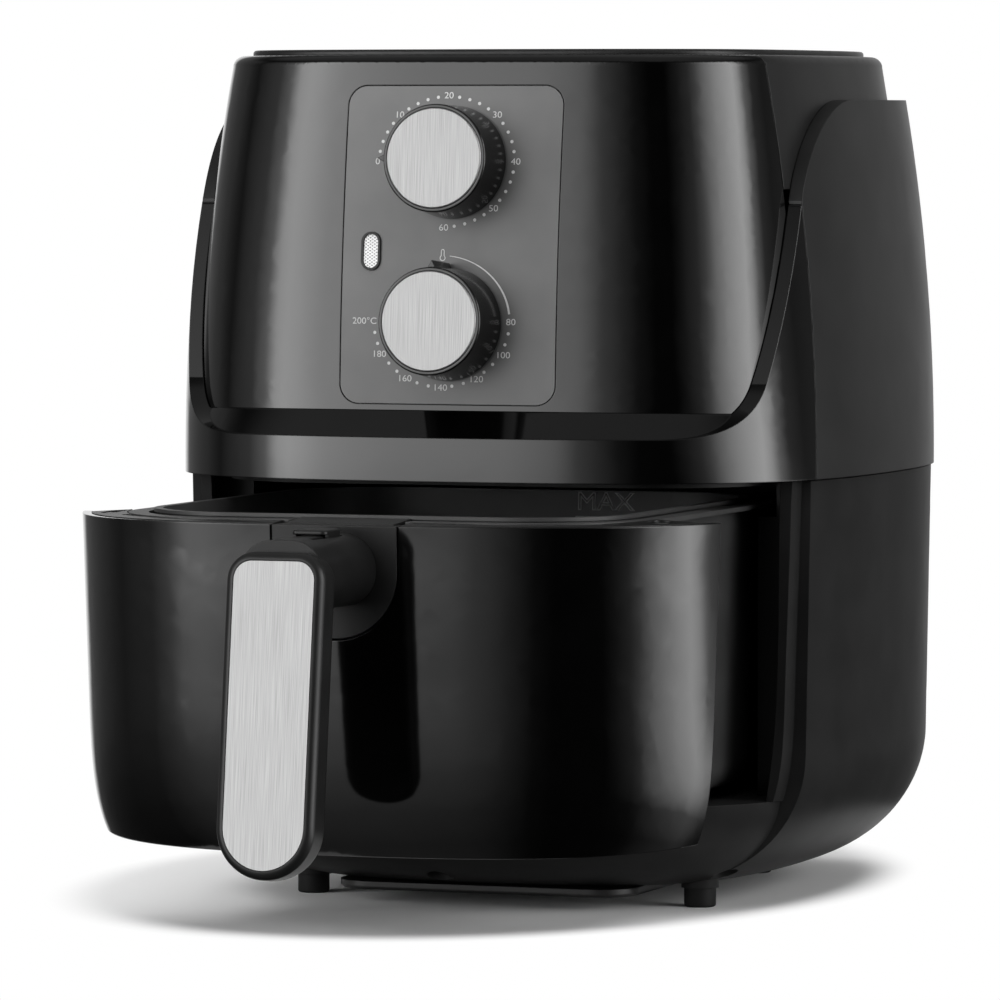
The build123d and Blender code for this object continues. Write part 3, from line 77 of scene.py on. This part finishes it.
# Dials on the control panel: the prints are a little wider than high
DIAL_X = -2.1 * MM
TIMER_Z = 268.9 * MM
THERMO_Z = 212.0 * MM
DOTS_RX, DOTS_RZ = 25.8 * MM, 23.2 * MM
MARKS_RX, MARKS_RZ = 26.3 * MM, 23.5 * MM
DOT_R = 0.60 * MM
DOT_CORNERS = 16
PRINT_LIFT = 0.05 * MM

# Numbers: those of three letters, and the one of five with its unit, stand further out
DIGIT_H = 2.35 * MM
MARK_OUT = {3: 0.9 * MM, 5: 3.2 * MM}
MARKS = 7
TIMER_STEP, TIMER_FROM, TIMER_TURN, TIMER_DOTS = 10, 180, -45, 4
THERMO_FIRST, THERMO_STEP, THERMO_TURN, THERMO_DOTS = 80, 20, -30, 2

# Lettering: a capital's height as a share of the font's size, and the smoothness of its curves
CAPITAL_SHARE = 0.727
LETTER_STRETCH = 1.14
LETTER_STEPS = 6
WIRE_STEPS = 1

# Warming-up arc from the thermometer sign to the lowest temperature, wider towards its end
ARC_FROM, ARC_TO, ARC_STEPS = 84, 7, 40
ARC_THIN, ARC_WIDE = 0.25 * MM, 0.75 * MM

# Thermometer sign: the outline of a bulb under a round-topped tube
SIGN_Z = THERMO_Z + 22.7 * MM
BULB_R, TUBE_R, TUBE_TOP = 0.95 * MM, 0.55 * MM, 3.0 * MM
BULB_FROM, BULB_TO, BULB_STEPS = 55, -235, 24
TUBE_FROM, TUBE_TO, TUBE_STEPS = 180, 0, 12
SIGN_LINE = 0.3 * MM

# Fill mark on the inside of the basket's back wall
LEVEL_X = 24.0 * MM
LEVEL_Z = 143.2 * MM
LEVEL_H = 6.6 * MM
LEVEL_WIRE = 0.22 * MM
LEVEL_LINE_Z = 137.8 * MM
LEVEL_LINE_HALF = 11.5 * MM
LEVEL_LINE_STEPS = 16
BASKET_INSIDE_Y = -100 * MM

# Oval table that the object stands on; it turns white between two shares of its reach
TABLE_X = -0.03
TABLE_RX, TABLE_RY = 0.17, 0.255
TABLE_CORNERS = 96
TABLE_SCALE = 3
TABLE_GREYS = 0.90, 0.92
TABLE_ROUGH = 0.9
TABLE_SPECULAR = 0.1
WHITE_FROM, WHITE_AT = 0.76, 0.9

# Overhead lamp
LAMP_SIZE, LAMP_WATTS = 2.0, 28.0
LAMP_Y, LAMP_Z = -0.3, 1.5

# Studio: levels, then shares of the boxes' level by azimuth from the front and by height, in degrees
BOX_LEVEL = 7.0
TOP_LEVEL = 0.3
DIM_LEVEL = 0.012
LEFT_SPAN = -180, 40
RIGHT_SPAN = 20, 180
HEIGHT_SPAN = -40, 60
LEFT_BOX = [
    (-180, 0.03), (-100, 0.03), (-85, 0.012), (-63, 0.08), (-55, 0.24), (-50, 0.8), (-46, 0.9), (-42, 0.84),
    (-36, 0.66), (-24, 0.5), (-14, 0.44), (-5, 0.3), (0, 0.11), (6, 0.05), (12, 0.013), (20, 0),
]
LEFT_HEIGHT = [
    (-9, 0), (-8, 0.03), (-6.5, 0.2), (-5.3, 0.42), (-3.5, 0.78), (-2, 1), (28, 1), (40, 0),
]
LEFT_LOW = [
    (-180, 0.03), (-100, 0.03), (-84, 0.03), (-64, 0.05), (-56, 0.11), (-48, 0.2), (-43, 0.25), (-20, 0.25),
    (-5, 0.21), (3, 0.145), (10, 0.075), (18, 0.015), (27, 0),
]
LOW_HEIGHT = [
    (-40, 0.1), (-22, 0.17), (-12.5, 0.3), (-9.5, 0.42), (-8, 0.45), (-6.5, 0.45), (-5, 0.33), (-3, 0.1),
    (-1, 0),
]
RIGHT_BOX = [
    (30, 0), (38, 0.02), (48, 0.06), (54, 0.14), (65, 0.45), (73, 0.66), (84, 0.88), (92, 1),
    (98, 0.7), (103, 0.25), (110, 0.05), (120, 0.02), (135, 0.025), (150, 0.042), (165, 0.05), (180, 0.05),
]
RIGHT_HEIGHT = [
    (-35, 0.03), (-20, 0.11), (-16, 0.33), (-12, 0.5), (-7, 0.62), (-3, 0.95), (28, 1), (40, 0),
]
# The right box leans: its azimuth moves by shares of this many degrees, by height
SLANT = 30
RIGHT_SLANT = [(-30, 0.87), (-9.5, 0.87), (-7, 0.74), (-2.6, 0.2), (3, 0), (13, 0)]
TOP_RISE = 35, 55
# Mirrors show white in a cone behind the object, which fades in over these angles and heights
CONE_FROM, CONE_FULL = math.cos(math.radians(26)), math.cos(math.radians(14))
BEHIND_RISE = -14, -6


def shader(name):
    """A new material, its node tree and its principled shader."""
    material = bpy.data.materials.new(name)
    material.use_nodes = True
    tree = material.node_tree
    return material, tree, tree.nodes["Principled BSDF"]


def node(tree, kind, **values):
    """A new node of a tree, with some of its settings."""
    made = tree.nodes.new(kind)
    for key, value in values.items():
        setattr(made, key, value)
    return made


def noise(tree, scale, detail=2.0, stretch=(1, 1, 1)):
    """Noise over the piece's own coordinates, drawn out along an axis by stretch."""
    place = node(tree, "ShaderNodeTexCoord")
    mapping = node(tree, "ShaderNodeMapping")
    mapping.inputs["Scale"].default_value = stretch
    texture = node(tree, "ShaderNodeTexNoise")
    texture.inputs["Scale"].default_value = scale
    texture.inputs["Detail"].default_value = detail
    tree.links.new(place.outputs["Object"], mapping.inputs["Vector"])
    tree.links.new(mapping.outputs["Vector"], texture.inputs["Vector"])
    return texture.outputs["Fac"]


def spread(tree, value, low, high):
    """A texture's 0 to 1 mapped to low to high."""
    ramp = node(tree, "ShaderNodeMapRange")
    ramp.inputs["To Min"].default_value = low
    ramp.inputs["To Max"].default_value = high
    tree.links.new(value, ramp.inputs["Value"])
    return ramp.outputs["Result"]


def grey_ramp(tree, value, greys):
    """The middle of a texture's range as a colour between two greys."""
    ramp = node(tree, "ShaderNodeValToRGB")
    for end, position, grey in zip(ramp.color_ramp.elements, RAMP_ENDS, greys):
        end.position = position
        end.color = (grey, grey, grey, 1)
    tree.links.new(value, ramp.inputs["Fac"])
    return ramp.outputs["Color"]


def bump(tree, value, height, edge=0.0):
    """Relief from a texture, on edges that are rounded off by a small radius."""
    made = node(tree, "ShaderNodeBump")
    made.inputs["Distance"].default_value = height
    tree.links.new(value, made.inputs["Height"])
    if edge:
        soft = node(tree, "ShaderNodeBevel", samples=EDGE_SAMPLES)
        soft.inputs["Radius"].default_value = edge
        tree.links.new(soft.outputs["Normal"], made.inputs["Normal"])
    return made.outputs["Normal"]


def moulded(name, greys, rough, grain, relief, specular=0.5, edge=0.0):
    """Moulded plastic: a hint of colour variation, roughness that wanders, fine surface grain."""
    material, tree, base = shader(name)
    tree.links.new(grey_ramp(tree, noise(tree, TINT_SCALE), greys), base.inputs["Base Color"])
    tree.links.new(spread(tree, noise(tree, SHEEN_SCALE), *rough), base.inputs["Roughness"])
    tree.links.new(bump(tree, noise(tree, grain, FINE_DETAIL), relief, edge), base.inputs["Normal"])
    base.inputs["Specular IOR Level"].default_value = specular
    return material


def brushed(name, greys, rough, stretch):
    """Brushed metal: streaks along one axis in colour, roughness and height."""
    material, tree, base = shader(name)
    streaks = noise(tree, 1.0, STREAK_DETAIL, stretch)
    tree.links.new(grey_ramp(tree, streaks, greys), base.inputs["Base Color"])
    tree.links.new(spread(tree, streaks, *rough), base.inputs["Roughness"])
    tree.links.new(bump(tree, streaks, STREAK_RELIEF), base.inputs["Normal"])
    base.inputs["Metallic"].default_value = 1.0
    return material


def metal(name, greys, rough):
    """Plain metal with soft clouds in colour and roughness."""
    material, tree, base = shader(name)
    cloud = noise(tree, CLOUD_SCALE, FINE_DETAIL)
    tree.links.new(grey_ramp(tree, cloud, greys), base.inputs["Base Color"])
    tree.links.new(spread(tree, cloud, *rough), base.inputs["Roughness"])
    base.inputs["Metallic"].default_value = 1.0
    return material


def ink_material():
    """White print, a little uneven."""
    material, tree, base = shader("print_white")
    tree.links.new(grey_ramp(tree, noise(tree, INK_SCALE), INK_GREYS), base.inputs["Base Color"])
    base.inputs["Roughness"].default_value = INK_ROUGH
    return material


def lens_material():
    """Pale lens with a fine crossed pattern raised on it."""
    material, tree, base = shader("lens_clear")
    place = node(tree, "ShaderNodeTexCoord")
    crossed = node(tree, "ShaderNodeMath", operation="MAXIMUM")
    for turn, socket in zip((LENS_LEAN, -LENS_LEAN), crossed.inputs):
        lean = node(tree, "ShaderNodeMapping")
        lean.inputs["Rotation"].default_value = (0, turn, 0)
        wave = node(tree, "ShaderNodeTexWave")
        wave.inputs["Scale"].default_value = LENS_BANDS
        tree.links.new(place.outputs["Object"], lean.inputs["Vector"])
        tree.links.new(lean.outputs["Vector"], wave.inputs["Vector"])
        tree.links.new(wave.outputs["Fac"], socket)
    tree.links.new(grey_ramp(tree, crossed.outputs[0], LENS_GREYS), base.inputs["Base Color"])
    tree.links.new(bump(tree, crossed.outputs[0], LENS_RELIEF), base.inputs["Normal"])
    base.inputs["Roughness"].default_value = LENS_ROUGH
    return material


# Plastics: name, greys, roughness, scale and height of the grain, and for some specular level and edges
gloss = moulded("gloss_black", (0.0004, 0.0008), (0.06, 0.09), 60, 1.5e-7, edge=EDGE_ROUND)
satin = moulded("satin_black", (0.006, 0.009), (0.33, 0.42), 2200, 1.2e-5, 0.3, EDGE_ROUND)
tub_satin = moulded("tub_satin", (0.014, 0.018), (0.36, 0.42), 1800, 6e-6, 0.03, EDGE_ROUND)
handle_satin = moulded("handle_satin", (0.005, 0.008), (0.34, 0.42), 2600, 1.2e-5, 0.3, EDGE_ROUND)
inlay = moulded("inlay_grey", (0.075, 0.090), (0.34, 0.42), 3000, 6e-6)
nonstick = moulded("nonstick", (0.020, 0.030), (0.42, 0.55), 1500, 1.2e-5)
mark_grey = moulded("mark_grey", (0.30, 0.38), (0.40, 0.50), 1500, 1e-5)
groove_black = moulded("deep_black", (0.002, 0.003), (0.5, 0.6), 900, 4e-6)
rubber = moulded("rubber", (0.004, 0.006), (0.6, 0.75), 1500, 1e-5, 0.2)
knob_black = moulded("knob_black", (0.001, 0.0016), (0.14, 0.18), 300, 2e-6, edge=EDGE_ROUND)
unit_plastic = moulded("unit_plastic", (0.30, 0.36), (0.45, 0.55), 800, 8e-6)

# Metals: name, greys, roughness, and the scales of the brushing along X, Y and Z
silver_plate = brushed("brushed_silver", (0.25, 0.40), (0.46, 0.56), (3600, 0, 40))
steel = metal("steel", (0.45, 0.60), (0.25, 0.40))
zinc = metal("zinc", (0.30, 0.42), (0.30, 0.45))
element_steel = metal("element_steel", (0.10, 0.18), (0.35, 0.5))
# Painted shade: the chamber liner and heater hood are coloured near black to stand in for the shade inside
# the housing
liner_painted_shade = metal("liner_painted_shade", (0.02, 0.03), (0.45, 0.6))

ink = ink_material()
lens = lens_material()

FINISHES = {
    gloss: ["front_panel", "front_collar", "drawer_front"],
    satin: ["rear_shell", "top_cover", "vent_grille", "base_plate", "drawer_trim"],
    tub_satin: ["lower_housing"],
    handle_satin: ["handle", "handle_bracket", "release_button", "button_guard"],
    inlay: ["control_panel"],
    nonstick: ["pan", "basket", "basket_floor"],
    groove_black: ["indicator_bezel", "cord_gland", "drawer_frame"],
    rubber: ["feet", "basket_pads"],
    knob_black: ["timer_knob", "temperature_knob"],
    silver_plate: ["handle_plate", "timer_cap", "temperature_cap"],
    steel: [
        "timer_shaft", "thermostat_shaft", "element_clips", "element_guard",
        "motor_shaft", "hot_air_fan", "cooling_fan", "motor_bracket", "motor",
    ],
    # Chamber liner and heater hood get the near-black metal that paints the shade inside the housing
    liner_painted_shade: ["chamber_liner", "heater_hood"],
    zinc: ["base_screws", "drawer_screws", "handle_screws"],
    element_steel: ["heating_element"],
    unit_plastic: ["timer_unit", "thermostat_unit", "drawer_switch"],
    lens: ["indicator_lens", "indicator_lamp"],
}
for finish, names in FINISHES.items():
    for name in names:
        nodes[name].data.materials.clear()
        nodes[name].data.materials.append(finish)


def surface(name):
    """A CAD node's surface, to lay print on."""
    mesh = nodes[name].data
    return BVHTree.FromPolygons([v.co for v in mesh.vertices], [p.vertices for p in mesh.polygons])


def lay_on(mesh, tree, lift, start_y=-1.0):
    """Moves each point of a flat print along +Y on to the first surface behind start_y."""
    for vertex in mesh.vertices:
        start = Vector((vertex.co.x, start_y, vertex.co.z))
        hit = tree.ray_cast(start, Vector((0, 1, 0)))[0]
        if hit is not None:
            vertex.co.y += hit.y - lift


def add_piece(name, mesh, material, body):
    """A mesh as a piece of the object that moves with a body."""
    piece = bpy.data.objects.new(name, mesh)
    bpy.context.scene.collection.objects.link(piece)
    mesh.materials.clear()
    mesh.materials.append(material)
    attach(piece, body)


def steps(start, end, count):
    """The ends of count even steps from start to end."""
    return [start + (end - start) * k / count for k in range(count + 1)]


def round_place(x, z, turn, reach_x, reach_z):
    """A point on an oval on the front; turn 0 is at its right, counted towards the top."""
    angle = math.radians(turn)
    return x + reach_x * math.cos(angle), z + reach_z * math.sin(angle)


def words(text, x, z, height, wire=0.0):
    """Upright lettering, centred at a place on the front, as a mesh: filled, or its outline in wire."""
    curve = bpy.data.curves.new("words", "FONT")
    curve.body = text
    curve.size = height / CAPITAL_SHARE
    if wire:
        curve.fill_mode = "NONE"
        curve.bevel_depth = wire
        curve.bevel_resolution = WIRE_STEPS
    curve.align_x, curve.align_y = "CENTER", "CENTER"
    curve.resolution_u = LETTER_STEPS
    holder = bpy.data.objects.new("words", curve)
    bpy.context.scene.collection.objects.link(holder)
    bpy.context.view_layer.update()
    shaped = holder.evaluated_get(bpy.context.evaluated_depsgraph_get())
    mesh = bpy.data.meshes.new_from_object(shaped)
    bpy.data.objects.remove(holder)
    stretch = Matrix.Scale(LETTER_STRETCH, 4, (1, 0, 0))
    upright = Matrix.Rotation(math.pi / 2, 4, "X")
    mesh.transform(Matrix.Translation((x, 0, z)) @ stretch @ upright)
    return mesh


def disc(x, z, radius):
    """A flat dot on the front."""
    mesh = bpy.data.meshes.new("dot")
    rim = [round_place(x, z, turn, radius, radius) for turn in steps(0, 360, DOT_CORNERS)[:-1]]
    mesh.from_pydata([(rim_x, 0, rim_z) for rim_x, rim_z in rim], [], [tuple(range(DOT_CORNERS))])
    return mesh


def strip(points, widths):
    """A flat ribbon along points on the front, as wide at each as widths says."""
    rims = []
    for k, (x, z) in enumerate(points):
        (x0, z0), (x1, z1) = points[max(k - 1, 0)], points[min(k + 1, len(points) - 1)]
        across = Vector((z0 - z1, x1 - x0)).normalized() * widths[k] / 2
        rims.append(((x + across.x, 0, z + across.y), (x - across.x, 0, z - across.y)))
    mesh = bpy.data.meshes.new("strip")
    faces = [(2 * k, 2 * k + 1, 2 * k + 3, 2 * k + 2) for k in range(len(rims) - 1)]
    mesh.from_pydata([corner for rim in rims for corner in rim], [], faces)
    return mesh


panel_surface = surface("control_panel")


def print_on_panel(name, mesh):
    """White print on the control panel."""
    lay_on(mesh, panel_surface, PRINT_LIFT)
    add_piece(name, mesh, ink, "housing")


def dial(name, centre_z, marks, dots):
    """Numbers at their turns round a dial, with dots between them."""
    for text, turn in marks:
        reach_x = MARKS_RX + MARK_OUT.get(len(text), 0)
        x, z = round_place(DIAL_X, centre_z, turn, reach_x, MARKS_RZ)
        print_on_panel(f"{name}_mark_{text.rstrip('°C')}", words(text, x, z, DIGIT_H))
    for (_, start), (_, end) in zip(marks, marks[1:]):
        for turn in steps(start, end, dots + 1)[1:-1]:
            x, z = round_place(DIAL_X, centre_z, turn, DOTS_RX, DOTS_RZ)
            print_on_panel(f"{name}_dot_{round(turn) % 360}", disc(x, z, DOT_R))


timer_marks = [(f"{TIMER_STEP * k}", TIMER_FROM + TIMER_TURN * k) for k in range(MARKS)]
thermo_units = [""] * (MARKS - 1) + ["°C"]
thermo_marks = [
    (f"{THERMO_FIRST + THERMO_STEP * k}{unit}", THERMO_TURN * k) for k, unit in enumerate(thermo_units)
]
dial("timer", TIMER_Z, timer_marks, TIMER_DOTS)
dial("temperature", THERMO_Z, thermo_marks, THERMO_DOTS)

arc_points = [
    round_place(DIAL_X, THERMO_Z, turn, DOTS_RX, MARKS_RZ) for turn in steps(ARC_FROM, ARC_TO, ARC_STEPS)
]
print_on_panel("temperature_arc", strip(arc_points, steps(ARC_THIN, ARC_WIDE, ARC_STEPS)))

sign = [
    round_place(DIAL_X, SIGN_Z, turn, BULB_R, BULB_R) for turn in steps(BULB_FROM, BULB_TO, BULB_STEPS)
]
sign += [
    round_place(DIAL_X, SIGN_Z + TUBE_TOP - TUBE_R, turn, TUBE_R, TUBE_R)
    for turn in steps(TUBE_FROM, TUBE_TO, TUBE_STEPS)
]
sign.append(sign[0])
print_on_panel("temperature_sign", strip(sign, [SIGN_LINE] * len(sign)))

basket_wall = surface("basket")
level = words("MAX", LEVEL_X, LEVEL_Z, LEVEL_H, LEVEL_WIRE)
lay_on(level, basket_wall, 0, BASKET_INSIDE_Y)
add_piece("level_mark", level, mark_grey, "basket")
line_xs = steps(LEVEL_X - LEVEL_LINE_HALF, LEVEL_X + LEVEL_LINE_HALF, LEVEL_LINE_STEPS)
line = strip([(x, LEVEL_LINE_Z) for x in line_xs], [2 * LEVEL_WIRE] * len(line_xs))
lay_on(line, basket_wall, LEVEL_WIRE, BASKET_INSIDE_Y)
add_piece("level_line", line, mark_grey, "basket")


def studio_world():
    """White to the eye; broad soft boxes left and right and overhead to everything else."""
    world = bpy.data.worlds.new("studio")
    bpy.context.scene.world = world
    world.use_nodes = True
    tree = world.node_tree
    tree.nodes.clear()
    place = node(tree, "ShaderNodeTexCoord")
    axes = node(tree, "ShaderNodeSeparateXYZ")
    tree.links.new(place.outputs["Generated"], axes.inputs["Vector"])

    def link_or_set(value, socket):
        if isinstance(value, (int, float)):
            socket.default_value = value
        else:
            tree.links.new(value, socket)

    def maths(kind, a, b=0.0):
        made = node(tree, "ShaderNodeMath", operation=kind)
        link_or_set(a, made.inputs[0])
        link_or_set(b, made.inputs[1])
        return made.outputs[0]

    def times(a, b):
        return maths("MULTIPLY", a, b)

    def plus(a, b):
        return maths("ADD", a, b)

    def rise(value, start, end):
        """A smooth step from 0 at start to 1 at end."""
        made = node(tree, "ShaderNodeMapRange", interpolation_type="SMOOTHSTEP")
        tree.links.new(value, made.inputs["Value"])
        made.inputs["From Min"].default_value = start
        made.inputs["From Max"].default_value = end
        return made.outputs["Result"]

    def stops(value, span, points):
        """Straight runs between a few points along a span."""
        low, high = span
        share = node(tree, "ShaderNodeMapRange")
        tree.links.new(value, share.inputs["Value"])
        share.inputs["From Min"].default_value = low
        share.inputs["From Max"].default_value = high
        ramp = node(tree, "ShaderNodeValToRGB")
        elements = ramp.color_ramp.elements
        while len(elements) < len(points):
            elements.new(0.5)
        for element, (at, level) in zip(elements, points):
            element.position = (at - low) / (high - low)
            element.color = (level, level, level, 1)
        tree.links.new(share.outputs["Result"], ramp.inputs["Fac"])
        return ramp.outputs["Color"]

    to_front = times(axes.outputs["Y"], -1)
    azimuth = times(maths("ARCTAN2", axes.outputs["X"], to_front), 180 / math.pi)
    height = times(maths("ARCSINE", axes.outputs["Z"]), 180 / math.pi)

    left_high = times(stops(azimuth, LEFT_SPAN, LEFT_BOX), stops(height, HEIGHT_SPAN, LEFT_HEIGHT))
    left_low = times(stops(azimuth, LEFT_SPAN, LEFT_LOW), stops(height, HEIGHT_SPAN, LOW_HEIGHT))
    leaning = maths("SUBTRACT", azimuth, times(stops(height, HEIGHT_SPAN, RIGHT_SLANT), SLANT))
    right = times(stops(leaning, RIGHT_SPAN, RIGHT_BOX), stops(height, HEIGHT_SPAN, RIGHT_HEIGHT))
    boxes = times(plus(plus(left_high, left_low), right), BOX_LEVEL)
    top = times(rise(height, *TOP_RISE), TOP_LEVEL)
    lit = plus(plus(boxes, top), DIM_LEVEL)

    # White to the eye, and in mirrors where they look at what is behind the object
    ahead_x = times(axes.outputs["X"], -math.sin(CAMERA_TURN))
    ahead = plus(ahead_x, times(axes.outputs["Y"], math.cos(CAMERA_TURN)))
    behind = times(rise(ahead, CONE_FROM, CONE_FULL), rise(height, *BEHIND_RISE))
    path = node(tree, "ShaderNodeLightPath")
    mirrored = plus(path.outputs["Is Glossy Ray"], path.outputs["Is Transmission Ray"])
    shown = times(maths("MINIMUM", mirrored, 1), behind)
    seen = maths("MINIMUM", plus(path.outputs["Is Camera Ray"], shown), 1)
    strength = plus(times(lit, maths("SUBTRACT", 1, seen)), seen)
    background = node(tree, "ShaderNodeBackground")
    output = node(tree, "ShaderNodeOutputWorld")
    background.inputs["Color"].default_value = (1, 1, 1, 1)
    tree.links.new(strength, background.inputs["Strength"])
    tree.links.new(background.outputs["Background"], output.inputs["Surface"])


def lamp():
    """Broad lamp overhead for the table, kept out of the gloss."""
    data = bpy.data.lights.new("overhead", "AREA")
    data.size, data.energy = LAMP_SIZE, LAMP_WATTS
    holder = bpy.data.objects.new("overhead", data)
    holder.location = (0, LAMP_Y, LAMP_Z)
    holder.visible_glossy = False
    bpy.context.scene.collection.objects.link(holder)


def table():
    """Plain pale oval table top, white towards its edge, that keeps the object's shadow."""
    mesh = bpy.data.meshes.new("table")
    turns = [2 * math.pi * k / TABLE_CORNERS for k in range(TABLE_CORNERS)]
    rim = [(TABLE_RX * math.cos(turn), TABLE_RY * math.sin(turn), 0) for turn in turns]
    mesh.from_pydata(rim, [], [tuple(range(TABLE_CORNERS))])
    piece = bpy.data.objects.new("table", mesh)
    piece.location.x = TABLE_X
    bpy.context.scene.collection.objects.link(piece)
    material, tree, base = shader("table")
    tree.links.new(grey_ramp(tree, noise(tree, TABLE_SCALE), TABLE_GREYS), base.inputs["Base Color"])
    base.inputs["Roughness"].default_value = TABLE_ROUGH
    base.inputs["Specular IOR Level"].default_value = TABLE_SPECULAR

    # White away from the object, to the eye and in mirrors
    place = node(tree, "ShaderNodeTexCoord")
    shares = node(tree, "ShaderNodeMapping")
    shares.inputs["Scale"].default_value = (1 / TABLE_RX, 1 / TABLE_RY, 1)
    reach = node(tree, "ShaderNodeVectorMath", operation="LENGTH")
    away = node(tree, "ShaderNodeMapRange", interpolation_type="SMOOTHSTEP")
    away.inputs["From Min"].default_value = WHITE_FROM
    away.inputs["From Max"].default_value = WHITE_AT
    path = node(tree, "ShaderNodeLightPath")
    shown = node(tree, "ShaderNodeMath", operation="ADD", use_clamp=True)
    shown_too = node(tree, "ShaderNodeMath", operation="ADD", use_clamp=True)
    share = node(tree, "ShaderNodeMath", operation="MULTIPLY")
    white = node(tree, "ShaderNodeEmission")
    mixed = node(tree, "ShaderNodeMixShader")
    white.inputs["Color"].default_value = (1, 1, 1, 1)
    for start, end in (
        (place.outputs["Object"], shares.inputs["Vector"]),
        (shares.outputs["Vector"], reach.inputs[0]),
        (reach.outputs["Value"], away.inputs["Value"]),
        (path.outputs["Is Camera Ray"], shown.inputs[0]),
        (path.outputs["Is Glossy Ray"], shown.inputs[1]),
        (shown.outputs[0], shown_too.inputs[0]),
        (path.outputs["Is Transmission Ray"], shown_too.inputs[1]),
        (shown_too.outputs[0], share.inputs[0]),
        (away.outputs["Result"], share.inputs[1]),
        (share.outputs[0], mixed.inputs["Fac"]),
        (base.outputs["BSDF"], mixed.inputs[1]),
        (white.outputs["Emission"], mixed.inputs[2]),
        (mixed.outputs["Shader"], tree.nodes["Material Output"].inputs["Surface"]),
    ):
        tree.links.new(start, end)
    mesh.materials.append(material)


def camera():
    """The photograph's camera: a long lens at the front right, just below the height of the part's top."""
    data = bpy.data.cameras.new("camera")
    data.sensor_width = SENSOR_MM
    data.lens = FOCAL_PX * SENSOR_MM / PICTURE_PX
    data.clip_start, data.clip_end = CLIP_START, CLIP_END
    holder = bpy.data.objects.new("camera", data)
    bpy.context.scene.collection.objects.link(holder)
    turn, dip = CAMERA_TURN, CAMERA_DIP
    aside = Vector((math.cos(turn), math.sin(turn), 0))
    ahead = Vector((-math.sin(turn) * math.cos(dip), math.cos(turn) * math.cos(dip), -math.sin(dip)))
    holder.location = (CAMERA_AWAY * math.sin(turn), -CAMERA_AWAY * math.cos(turn), CAMERA_HEIGHT)
    aim = ahead - aside * (AIM_ASIDE_PX / FOCAL_PX)
    holder.rotation_mode = "QUATERNION"
    holder.rotation_quaternion = aim.to_track_quat("-Z", "Y")
    bpy.context.scene.camera = holder


studio_world()
lamp()
table()
camera()
bpy.context.scene.view_settings.view_transform = "Standard"
